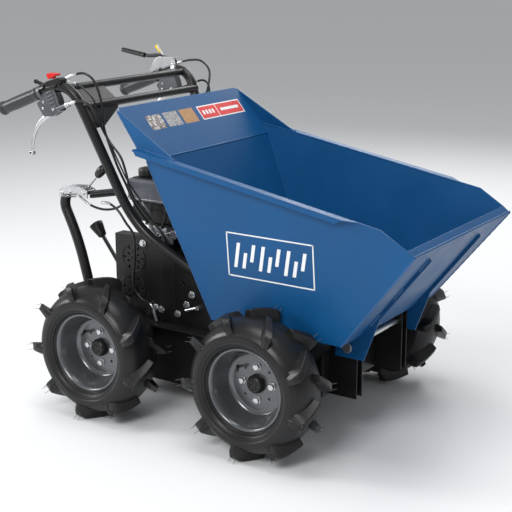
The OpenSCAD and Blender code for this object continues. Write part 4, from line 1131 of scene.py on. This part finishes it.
@dataclass
class Handlebar:
    """The two bent tubes with grips, cross tubes and hand controls."""

    tube: float = 12.5 * MM
    grip_y: float = 240 * MM
    low_y: float = 183 * MM
    grip_origin: tuple = (-440 * MM, 779 * MM)
    tilt: float = math.atan(33 / 88)
    tail: float = 145.4 * MM
    body: str = "chassis"

    def at_grip(self, side: int) -> Matrix:
        """Returns the place of a grip's own axes: X forward along the tube, Z square to it."""
        turn = Matrix.Rotation(-self.tilt, 4, "Y")
        flip = Matrix.Scale(-1, 4, (0, 1, 0)) if side > 0 else Matrix.Identity(4)
        return flip @ Matrix.Translation((self.grip_origin[0], -self.grip_y, self.grip_origin[1])) @ turn

    def centre_line(self, side: int) -> list[Vector]:
        """Returns the centre line of one tube."""
        end = self.at_grip(side) @ Vector((-self.tail, 0, 0))
        corners = [end, Vector((-352 * MM, side * self.grip_y, 812 * MM)),
                   Vector((-205 * MM, side * self.low_y, 452 * MM)),
                   Vector((-20 * MM, side * self.low_y, 365 * MM))]
        return bent_path(corners, (70 * MM, 90 * MM), 16)

    def build(self) -> None:
        """Makes the tubes, grips and controls."""
        for side, word in ((-1, "right"), (1, "left")):
            path = self.centre_line(side)
            tube = Shape().sweep(path, [self.tube] * len(path), 36)
            MAKER.piece(f"handle_tube_{word}", tube, self.body, "frame_black",
                        bevel=0.8 * MM, replaces=(f"handle_{word}",))
            self.grip(side, word)
            self.steering_lever(side, word)
            self.housing_details(side, word)
        MAKER.softened("handle_bridge", 0.8 * MM)
        MAKER.softened("lever_housings", 0.8 * MM)
        MAKER.softened("drive_lever_bracket", 0.5 * MM)
        MAKER.softened("throttle_housing", 0.6 * MM)
        MAKER.softened("switch_housing", 0.9 * MM)
        MAKER.softened("throttle_lever", 0.8 * MM)
        MAKER.softened("kill_button", 1.2 * MM)
        self.drive_lever()
        self.lock_lever()

    def grip(self, side: int, word: str) -> None:
        """Makes a rubber grip with flared ends, a waist and finger ribs."""
        start = -self.tail - 5 * MM
        length = 139 * MM
        outline = [(3 * MM, start), (13 * MM, start), (16.8 * MM, start + 1.5 * MM),
                   (18 * MM, start + 5 * MM), (17.2 * MM, start + 11 * MM)]
        for k in range(49):
            t = k / 48
            swell = 15.2 + 0.9 * math.sin(math.pi * t) + 0.25 * math.cos(t * math.tau * 13)
            outline.append((swell * MM, start + lerp(15 * MM, length - 16 * MM, t)))
        outline += [(16.6 * MM, start + length - 10 * MM), (16.6 * MM, start + length - 3 * MM),
                    (15 * MM, start + length), (12.6 * MM, start + length),
                    (12.6 * MM, start + length - 20 * MM), (3 * MM, start + 8 * MM)]
        place = self.at_grip(side) @ Matrix.Rotation(math.pi / 2, 4, "Y")
        shape = Shape().turn(outline, place, 56, closed=True)
        replaced = ("handle_grips",) if side < 0 else ()
        MAKER.piece(f"grip_{word}", shape, self.body, "grip_rubber",
                    replaces=replaced)

    def steering_lever(self, side: int, word: str) -> None:
        """Makes a cast lever that curves down to a ball end."""
        place = self.at_grip(side)
        route = [(30, -49), (24, -50), (2, -57), (-24, -62), (-51, -73), (-75, -93), (-90, -115), (-95, -126)]
        points = smooth_path([place @ Vector((x * MM, 0, z * MM)) for x, z in route], 6)
        widths = [7.2, 7.8, 7.4, 7.0, 6.2, 5.2, 4.6, 4.6]
        radii = [lerp(widths[min(i // 6, 7)], widths[min(i // 6 + 1, 7)], (i % 6) / 6) * MM
                 for i in range(len(points))]
        shape = Shape().sweep(points, radii, 24, flat=0.56)
        ball = place @ Matrix.Translation((-97 * MM, 0, -130 * MM)) @ Matrix.Rotation(math.pi / 2, 4, "X")
        shape.turn([(max(0.4, 8 * math.cos(math.radians(a))) * MM, 8 * math.sin(math.radians(a)) * MM)
                    for a in range(-90, 91, 10)], ball, 36)
        MAKER.piece(f"steering_lever_cast_{word}", shape, f"steer_{word}", "cast_alloy",
                    replaces=(f"steering_lever_{word}",))
        # A black plug through the ball end: its dark ends are painted shade standing in for the inside of the
        # ball's bore.
        hole = Shape().turn([(2.6 * MM, -8.25 * MM), (2.6 * MM, 8.25 * MM)], ball, 24)
        MAKER.piece(f"lever_ball_bore_shade_{word}", hole, f"steer_{word}", "control_black")

    def housing_details(self, side: int, word: str) -> None:
        """Makes the serrated pad, pivot screws and cable adjuster of a lever housing."""
        place = self.at_grip(side)
        ribs = Shape()
        for k in range(5):
            z = (-10 - 9 * k) * MM
            ribs.block((16 * MM, -13.2 * MM, z - 2.4 * MM), (38 * MM, -10.5 * MM, z + 2.4 * MM), place)
        MAKER.piece(f"housing_serration_{word}", ribs, self.body, "control_grey",
                    bevel=0.8 * MM)
        screws = Shape()
        for x, z, r in ((24, -50, 5), (0, -26, 3.4), (-7, -40, 3.4), (41, -58, 3)):
            for facing in (-1, 1):
                at = (place @ Matrix.Translation((x * MM, 0, z * MM))
                      @ Matrix.Rotation(facing * math.pi / 2, 4, "X"))
                screws.turn([(r * MM, 10.4 * MM), (r * MM, 11.6 * MM), (r * 0.7 * MM, 12.6 * MM),
                             (r * 0.35 * MM, 12.6 * MM), (r * 0.33 * MM, 11.8 * MM)], at, 24)
        MAKER.piece(f"housing_screws_{word}", screws, self.body, "zinc_steel")
        barrel = (place @ Matrix.Translation((76 * MM, -15 * MM, -55 * MM))
                  @ Matrix.Rotation(math.pi / 2, 4, "Y"))
        outline = [(3.2 * MM, -4 * MM), (6.6 * MM, -4 * MM)]
        for k in range(8):
            outline += [(6.9 * MM, (-3 + 1.5 * k) * MM), (6.3 * MM, (-2.25 + 1.5 * k) * MM)]
        outline += mm((6.6, 9.5), (4.6, 10), (4.6, 16), (3.4, 16.5), (3.4, 26), (3.05, 26))
        adjuster = Shape().turn(outline, barrel, 36)
        MAKER.piece(f"cable_adjuster_{word}", adjuster, self.body, "zinc_steel")

    def drive_lever(self) -> None:
        """Makes the clutch lever: a flat forged arm and its long rubber sleeve."""
        place = self.at_grip(1)
        arm = smooth_path([place @ Vector((x * MM, 0, z * MM)) for x, z in
                           ((57, 15), (51, 19), (30, 36), (6, 52), (-24, 61), (-44, 70))], 6)
        radii = [lerp(6.6, 4.6, i / len(arm)) * MM for i in range(len(arm))]
        MAKER.piece("drive_lever_arm", Shape().sweep(arm, radii, 24, flat=0.62), "drive_control",
                    "control_black", replaces=("drive_lever",))
        sleeve_place = (place @ Matrix.Translation((-40 * MM, 0, 68 * MM))
                        @ Matrix.Rotation(-math.radians(61), 4, "Y"))
        outline = [(3 * MM, -2 * MM), (7.3 * MM, -2 * MM)]
        for k in range(40):
            outline.append(((7.1 + 0.35 * math.cos(k * math.pi / 2) - 0.6 * k / 40) * MM, k * 1.95 * MM))
        outline += [(6.2 * MM, 79 * MM), (4.5 * MM, 80.5 * MM), (1 * MM, 80.8 * MM)]
        MAKER.piece("drive_lever_sleeve", Shape().turn(outline, sleeve_place, 32), "drive_control",
                    "control_black", bevel=0.3 * MM)

    def lock_lever(self) -> None:
        """Makes the small steel lock lever and its dipped yellow tip."""
        MAKER.softened("lock_lever", 0.4 * MM, Finishes.BY_SLOT["zinc_steel"])
        place = self.at_grip(1)
        tip = smooth_path([place @ Vector((x * MM, 0, z * MM))
                           for x, z in ((9, 60), (7, 68), (4, 76), (2, 82))], 4)
        centre_y = middle("lock_lever").y
        tip = [Vector((p.x, centre_y, p.z)) for p in tip]
        radii = [lerp(4.4, 5.4, i / (len(tip) - 1)) * MM for i in range(len(tip))]
        radii[-1] = 3.6 * MM
        MAKER.piece("lock_lever_tip", Shape().sweep(tip, radii, 20, flat=0.62), "lock",
                    "signal_yellow")


@dataclass
class Cables:
    """Bowden cables and the kill wire, along their real routes."""

    cable: float = 3 * MM
    wire: float = 2 * MM
    body: str = "chassis"

    def routes(self) -> dict[str, list[tuple]]:
        """Returns each cable's route, in millimetres."""
        return {
            "throttle_cable": [
                (-361, -240, 817), (-333, -240, 827), (-305, -234, 829), (-285, -224, 808), (-277, -210, 752),
                (-286, -195, 694), (-255, -190, 610), (-236, -180, 560), (-216, -164, 500), (-190, -146, 455),
                (-182, -131, 432)],
            "steering_cable_right": [
                (-346, -255, 755), (-322, -258, 764), (-301, -256, 767), (-286, -249, 759), (-276, -237, 738),
                (-276, -219, 713), (-283, -205, 694), (-266, -198, 662), (-235, -198, 630), (-220, -196, 590),
                (-212, -186, 535), (-178, -164, 478), (-145, -154, 440), (-127, -150, 380), (-125, -148, 300),
                (-125, -148, 220)],
            "steering_cable_left": [
                (-346, 255, 755), (-330, 256, 764), (-310, 255, 768), (-290, 249, 760), (-276, 236, 735),
                (-262, 212, 670), (-240, 200, 620), (-222, 188, 560), (-198, 172, 500), (-165, 160, 445),
                (-135, 157, 390), (-125, 157, 310), (-125, 157, 220)],
            "drive_cable": [
                (-385, 240, 812), (-370, 240, 817), (-340, 240, 823), (-305, 240, 822), (-276, 236, 798),
                (-272, 222, 750), (-282, 208, 700), (-250, 190, 620), (-232, 178, 560), (-212, 158, 505),
                (-222, 131, 452), (-244, 130, 400), (-252, 140, 340), (-252, 147, 280), (-252, 147, 220)],
            "latch_cable": [
                (-288, -212, 512), (-262, -212, 512), (-236, -212, 498), (-214, -210, 470), (-199, -200, 438),
                (-204, -192, 380), (-210, -190, 307), (-190, -188, 276), (-161, -186, 262),
                (-146, -184, 222)],
            "latch_link_cable": [
                (-380, -190, 516), (-350, -187, 496), (-315, -182, 487), (-282, -176, 490), (-255, -173, 503),
                (-246, -172, 516)],
            "kill_wire": [
                (-356, -240, 810), (-335, -239, 806), (-308, -234, 790), (-291, -222, 762), (-295, -209, 724),
                (-294, -190, 698), (-283, -181, 660), (-262, -173, 610), (-240, -164, 560), (-215, -140, 505),
                (-204, -125, 482)],
        }

    def build(self) -> None:
        """Makes each cable as a smooth tube with a ferrule at each end."""
        stands_for = {"throttle_cable": "throttle_cable", "steering_cable_right": "steering_cables",
                      "drive_cable": "drive_cable", "latch_cable": "latch_cable", "kill_wire": "kill_wire"}
        for name, route in self.routes().items():
            radius = self.wire if name == "kill_wire" else self.cable
            path = smooth_path([Vector(p) * MM for p in route], 8)
            replaced = (stands_for[name],) if name in stands_for else ()
            MAKER.piece(f"{name}_jacket", Shape().sweep(path, [radius] * len(path), 16), self.body,
                        "cable_black", replaces=replaced)
            ferrules = Shape()
            for line in (path, path[::-1]):
                taper = [radius + 0.9 * MM] * 8 + [radius + 0.4 * MM, radius + 0.1 * MM]
                ferrules.sweep(line[:10], taper, 20)
            MAKER.piece(f"{name}_ferrules", ferrules, self.body, "zinc_steel")


@dataclass
class Engine:
    """Engine, tank, guards and drive line in the open bay behind the hopper."""

    body: str = "chassis"
    tank_low: tuple = (-275 * MM, -130 * MM, 505 * MM)
    tank_high: tuple = (-100 * MM, 120 * MM, 565 * MM)
    crank: tuple = (-190 * MM, 325 * MM)
    cap_seat: tuple = (-235 * MM, -90 * MM, 565 * MM)

    def build(self) -> None:
        """Makes the engine's pieces."""
        self.tank()
        self.cap()
        for node, bevel in (("engine_block", 1.2), ("fan_shroud", 2.0), ("starter_grip", 1.6),
                            ("air_filter", 3.0), ("muffler", 2.5), ("carburettor", 1.2),
                            ("gearbox_case", 2.0), ("engine_pulley", 0.6),
                            ("gearbox_pulley", 0.6), ("drive_belt", 0.6)):
            MAKER.softened(node, bevel * MM)
        self.chain()
        self.carburettor_details()
        self.shroud_details()

    def tank(self) -> None:
        """Makes the tank's rounded shell, its welded seam and its black top cover."""
        low, high = Vector(self.tank_low), Vector(self.tank_high)
        shell = Shape().block(low, high - Vector((0, 0, 3 * MM)))
        MAKER.piece("tank_shell", shell, self.body, "tank_grey", bevel=9 * MM,
                    segments=5, replaces=("fuel_tank",))
        seam = Shape().block(low + Vector((-0.5, -0.5, 6)) * MM,
                             Vector((high.x, high.y, low.z)) + Vector((0.5, 0.5, 10)) * MM)
        MAKER.piece("tank_seam", seam, self.body, "cast_alloy", bevel=1.5 * MM)
        neck = Shape().turn(mm((20, -4), (20, 1), (18, 2.5), (18, 6), (12, 6), (12, -10)),
                            Matrix.Translation(self.cap_seat), 48, closed=True)
        MAKER.piece("tank_neck", neck, self.body, "engine_black", bevel=0.5 * MM)
        cover = Shape().block(Vector((low.x + 12 * MM, low.y + 8 * MM, high.z - 8 * MM)),
                              Vector((high.x - 12 * MM, high.y - 8 * MM, high.z)))
        MAKER.piece("tank_top_cover", cover, self.body, "engine_black",
                    bevel=3 * MM, segments=4)

    def cap(self) -> None:
        """Makes the fluted filler cap."""
        at = Matrix.Translation(self.cap_seat)
        shape = Shape()
        rings = []
        flutes = 12
        for radius, height in ((22.5, 1), (24.2, 2.5), (24.5, 16), (23, 20), (19, 21.2)):
            ring = []
            for k in range(96):
                angle = math.tau * k / 96
                wave = 1.3 * max(0.0, math.cos(flutes * angle)) if 2 < height < 20 else 0.0
                reach = (radius + wave) * MM
                ring.append(at @ Vector((reach * math.cos(angle), reach * math.sin(angle), height * MM)))
            rings.append(ring)
        shape.skin(rings)
        shape.turn(mm((15, 19), (15, 22), (13, 23), (2, 23.4)), at, 40)
        MAKER.piece("filler_cap", shape, "tank_cap", "engine_black",
                    replaces=("fuel_cap",))

    def chain(self) -> None:
        """Makes the roller chain between the two axles, link by link."""
        low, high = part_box("drive_chain")
        y = (low[1] + high[1]) / 2
        radius = (high[2] - low[2]) / 2 - 4 * MM
        z = (low[2] + high[2]) / 2
        left, right = low[0] + radius + 4 * MM, high[0] - radius - 4 * MM
        straight = right - left
        total = 2 * straight + math.tau * radius
        count = round(total / (12.7 * MM) / 2) * 2
        shape = Shape()
        for k in range(count):
            s = total * k / count
            if s < straight:
                at, angle = Vector((left + s, y, z + radius)), 0.0
            elif s < straight + math.pi * radius:
                angle = -(s - straight) / radius
                at = Vector((right - radius * math.sin(angle), y, z + radius * math.cos(angle)))
            elif s < 2 * straight + math.pi * radius:
                angle = math.pi
                at = Vector((right - (s - straight - math.pi * radius), y, z - radius))
            else:
                angle = -math.pi - (s - 2 * straight - math.pi * radius) / radius
                at = Vector((left - radius * math.sin(angle), y, z + radius * math.cos(angle)))
            place = Matrix.Translation(at) @ Matrix.Rotation(-angle, 4, "Y")
            wide = 3.6 * MM if k % 2 else 2.4 * MM
            for side in (-1, 1):
                shape.block((-1.5 * MM, side * wide - 0.5 * MM, -3.4 * MM),
                            (14 * MM, side * wide + 0.5 * MM, 3.4 * MM), place)
            shape.rod(place @ Vector((0, -3 * MM, 0)), place @ Vector((0, 3 * MM, 0)), 2.6 * MM, 10)
        MAKER.piece("roller_chain", shape, self.body, "axle_steel",
                    replaces=("drive_chain",))

    def carburettor_details(self) -> None:
        """Makes the throttle linkage, its springs and the fuel hose."""
        x, z = self.crank[0], self.crank[1]
        links = Shape()
        links.rod((x + 8 * MM, -134 * MM, z + 98 * MM), (x + 66 * MM, -130 * MM, z + 118 * MM), 1.4 * MM, 12)
        links.rod((x - 6 * MM, -132 * MM, z + 84 * MM), (x + 40 * MM, -134 * MM, z + 92 * MM), 1.4 * MM, 12)
        links.coil((x + 12 * MM, -136 * MM, z + 110 * MM), (x + 56 * MM, -133 * MM, z + 100 * MM),
                   3.2 * MM, 0.6 * MM, 11)
        links.coil((x - 2 * MM, -136 * MM, z + 74 * MM), (x + 30 * MM, -134 * MM, z + 80 * MM),
                   2.8 * MM, 0.6 * MM, 9)
        links.block((x + 4 * MM, -134 * MM, z + 88 * MM), (x + 14 * MM, -131 * MM, z + 124 * MM))
        links.block((x + 44 * MM, -132.5 * MM, z + 84 * MM), (x + 60 * MM, -130 * MM, z + 102 * MM))
        MAKER.piece("throttle_linkage", links, self.body, "zinc_steel", bevel=0.3 * MM)
        hose = smooth_path([Vector(p) * MM for p in ((-150, -132, 512), (-146, -138, 492), (-150, -139, 468),
                                                    (-160, -134, 452), (-168, -126, 446))], 8)
        MAKER.piece("fuel_hose", Shape().sweep(hose, [3.6 * MM] * len(hose), 16), self.body,
                    "cable_black")

    def shroud_details(self) -> None:
        """Makes the screws and ribs of the recoil cover and the shroud's seam."""
        x, z = self.crank
        shape = Shape()
        for k in range(6):
            angle = math.radians(60 * k + 20)
            at = Vector((x + 74 * MM * math.cos(angle), -122 * MM, z + 74 * MM * math.sin(angle)))
            shape.rod(at, at + Vector((0, -2.4 * MM, 0)), 4 * MM, 6)
        MAKER.piece("recoil_screws", shape, self.body, "zinc_steel", bevel=0.4 * MM)
        facing = Matrix.Translation((x, -122 * MM, z)) @ Matrix.Rotation(math.pi / 2, 4, "X")
        ring = Shape()
        for inner, outer in ((24, 28), (68, 71), (77, 80)):
            ring.turn(mm((inner, -1), (inner, 1.6), (outer, 1.6), (outer, -1)), facing, 72, closed=True)
        MAKER.piece("recoil_rings", ring, self.body, "engine_black", bevel=0.5 * MM)
        seam = Shape()
        seam.block((-263.5 * MM, -123.5 * MM, 486 * MM), (-110.5 * MM, 113.5 * MM, 490 * MM))
        MAKER.piece("shroud_seam", seam, self.body, "engine_black", bevel=1.4 * MM)


@dataclass
class Chassis:
    """Belly pan, deck, guards, posts, axles and the rear post with its levers."""

    body: str = "chassis"

    def build(self) -> None:
        """Makes the chassis's pieces."""
        for node, bevel in (("belly_pan", 1.0), ("front_apron", 1.0), ("deck_plate", 1.2),
                            ("pivot_posts", 1.0),
                            ("pivot_pin", 1.0), ("axle_bearings", 1.2), ("side_guard_right", 0.7),
                            ("side_guard_left", 0.7), ("rest_pads", 1.5), ("frame_bolts", 0.5),
                            ("front_axle_shaft", 0.8), ("rear_axle_shaft", 0.8)):
            MAKER.softened(node, bevel * MM)
        self.rear_post()
        self.post_bracket()
        self.gear_lever()
        self.latch_lever()
        self.guard_details()

    def rear_post(self) -> None:
        """Makes the bent post behind the engine."""
        y = -198 * MM
        corners = [(-337 * MM, y, 219 * MM), (-337 * MM, y, 243 * MM), (-380 * MM, y, 403 * MM),
                   (-424 * MM, y, 491 * MM), (-412 * MM, y, 523 * MM)]
        path = bent_path(corners, (10 * MM, 60 * MM, 18 * MM), 12)
        MAKER.piece("bent_rear_post", Shape().sweep(path, [13 * MM] * len(path), 36), self.body,
                    "frame_black", replaces=("rear_post",))
        foot = Shape().turn([(20 * MM, 0), (20 * MM, 3 * MM), (15 * MM, 4 * MM), (13.5 * MM, 9 * MM)],
                            Matrix.Translation((-337 * MM, y, 219 * MM)), 40)
        MAKER.piece("rear_post_weld", foot, self.body, "frame_black")

    def post_bracket(self) -> None:
        """Makes the plated cheeks on top of the post, their bolts and springs, and the two black tie bars."""
        y, out, thick = -198 * MM, 13.8 * MM, 3 * MM
        outline = [(-426, 511), (-424, 531), (-412, 541), (-358, 545), (-332, 537), (-332, 517),
                   (-352, 524), (-398, 520)]
        cheeks = Shape()
        for side in (-1, 1):
            cheeks.skin([[Vector((x * MM, y + side * d, z * MM)) for x, z in outline]
                         for d in (out, out + thick)])
        for x, z in ((-416, 524), (-390, 529), (-345, 531)):
            reach = out + thick + 5 * MM
            cheeks.rod((x * MM, y - reach, z * MM), (x * MM, y + reach, z * MM), 3.5 * MM, 20)
            for side in (-1, 1):
                face = y + side * (out + thick)
                cheeks.rod((x * MM, face, z * MM), (x * MM, face + side * 4 * MM, z * MM), 6 * MM, 6)
        cheeks.coil((-412 * MM, y - 20 * MM, 516 * MM), (-366 * MM, y - 20 * MM, 522 * MM),
                    3.6 * MM, 0.8 * MM, 10)
        MAKER.piece("bracket_cheeks", cheeks, self.body, "zinc_steel", bevel=0.6 * MM,
                    replaces=("post_bracket",))
        bars = Shape()
        for dz, dy in ((0, -7), (-11, 7)):
            bars.rod((-341 * MM, y + dy * MM, (529 + dz) * MM),
                     (-241 * MM, y + (dy + 8) * MM, (547 + dz) * MM), 5 * MM, 20)
        MAKER.piece("bracket_tie_bars", bars, self.body, "frame_black", bevel=0.8 * MM)

    def gear_lever(self) -> None:
        """Makes the flat gear lever and its tapered knob."""
        pivot = Vector((-245 * MM, -150 * MM, 280 * MM))
        shape = Shape().rod(pivot + Vector((0, -5 * MM, 0)), pivot + Vector((0, 5 * MM, 0)), 10 * MM)
        path = smooth_path([pivot, pivot + Vector((-55, 0, 75)) * MM, pivot + Vector((-101, 0, 135)) * MM], 8)
        shape.sweep(path, [6 * MM] * len(path), 20, flat=0.5)
        MAKER.piece("gear_lever_bar", shape, "gear_shift", "frame_black",
                    bevel=0.6 * MM, replaces=("gear_lever",))
        place = (Matrix.Translation(pivot + Vector((-95, 0, 127)) * MM)
                 @ Matrix.Rotation(-math.radians(38), 4, "Y"))
        rings = []
        for height, half in ((0, 7.5), (2, 9), (14, 11.5), (28, 14.2), (36, 15.6), (39.5, 14.6), (40, 11.5)):
            ring = []
            for k in range(40):
                angle = math.tau * k / 40
                square = 1 / max(abs(math.cos(angle)), abs(math.sin(angle))) ** 0.45
                reach = half * square * MM
                ring.append(place @ Vector((reach * math.cos(angle), reach * math.sin(angle), height * MM)))
            rings.append(ring)
        MAKER.piece("gear_knob", Shape().skin(rings), "gear_shift", "control_black",
                    bevel=0.6 * MM)

    def latch_lever(self) -> None:
        """Makes the plated latch arm, its rod and the black oval knob."""
        MAKER.softened("latch_lever", 0.4 * MM)
        base = Vector((-298 - 12, -198, 589 - 14)) * MM
        place = Matrix.Translation(base) @ Matrix.Rotation(math.radians(44), 4, "Y")
        outline = mm((3.6, -1.5), (7.4, -1), (10.2, 4), (11.3, 12), (11.6, 20), (10.8, 27), (8.6, 32),
                     (5, 34.6), (1, 35.4))
        MAKER.piece("latch_knob", Shape().turn(outline, place, 40), "latch",
                    "control_black")

    def guard_details(self) -> None:
        """Makes the joint strip, the latch bolt and the louvre ring of the right guard, with a black plate
        behind the vents that is painted shade.
        """
        y = -170 * MM
        strip = Shape().block((-139 * MM, y - 1.6 * MM, 253 * MM), (-97 * MM, y + 0.5 * MM, 396 * MM))
        MAKER.piece("guard_joint_strip", strip, self.body, "frame_black", bevel=0.7 * MM)
        vents = Shape()
        for z in (293, 371):
            facing = Matrix.Translation((-225 * MM, y, z * MM)) @ Matrix.Rotation(math.pi / 2, 4, "X")
            for inner, outer in ((34, 36.5), (5, 8)):
                vents.turn(mm((inner, -0.6), (inner, 1.4), (outer, 1.4), (outer, -0.6)), facing, 64,
                           closed=True)
        MAKER.piece("guard_vent_rings", vents, self.body, "frame_black", bevel=0.5 * MM)
        # A black plate just inside the guard: it is painted shade, standing in for the dark inside seen
        # through the vents.
        backing = Shape().block((-272 * MM, y + 4 * MM, 246 * MM), (-178 * MM, y + 4.8 * MM, 418 * MM))
        MAKER.piece("guard_vent_shade_plate", backing, self.body, "frame_black")
        bolt = Shape()
        bolt.rod((-62 * MM, y - 6 * MM, 262 * MM), (-20 * MM, y - 6 * MM, 276 * MM), 3.5 * MM, 20)
        bolt.rod((-24 * MM, y, 274.5 * MM), (-24 * MM, y - 11 * MM, 274.5 * MM), 5.5 * MM, 6)
        MAKER.piece("latch_bolt", bolt, self.body, "zinc_steel", bevel=0.5 * MM)


def main() -> None:
    """Builds the machine in order."""
    logging.basicConfig(level=logging.INFO, format="%(name)s: %(message)s")
    Studio().build()
    for node in frame["nodes"]:
        MAKER.dress(node)
    Hopper().build()
    for axle in ("front", "rear"):
        for side in ("right", "left"):
            Wheel(axle, side).build()
    Handlebar().build()
    Cables().build()
    Engine().build()
    Chassis().build()
    bpy.context.view_layer.update()
    LOG.info("%d pieces", MAKER.count)


if __name__ == "__main__":
    main()
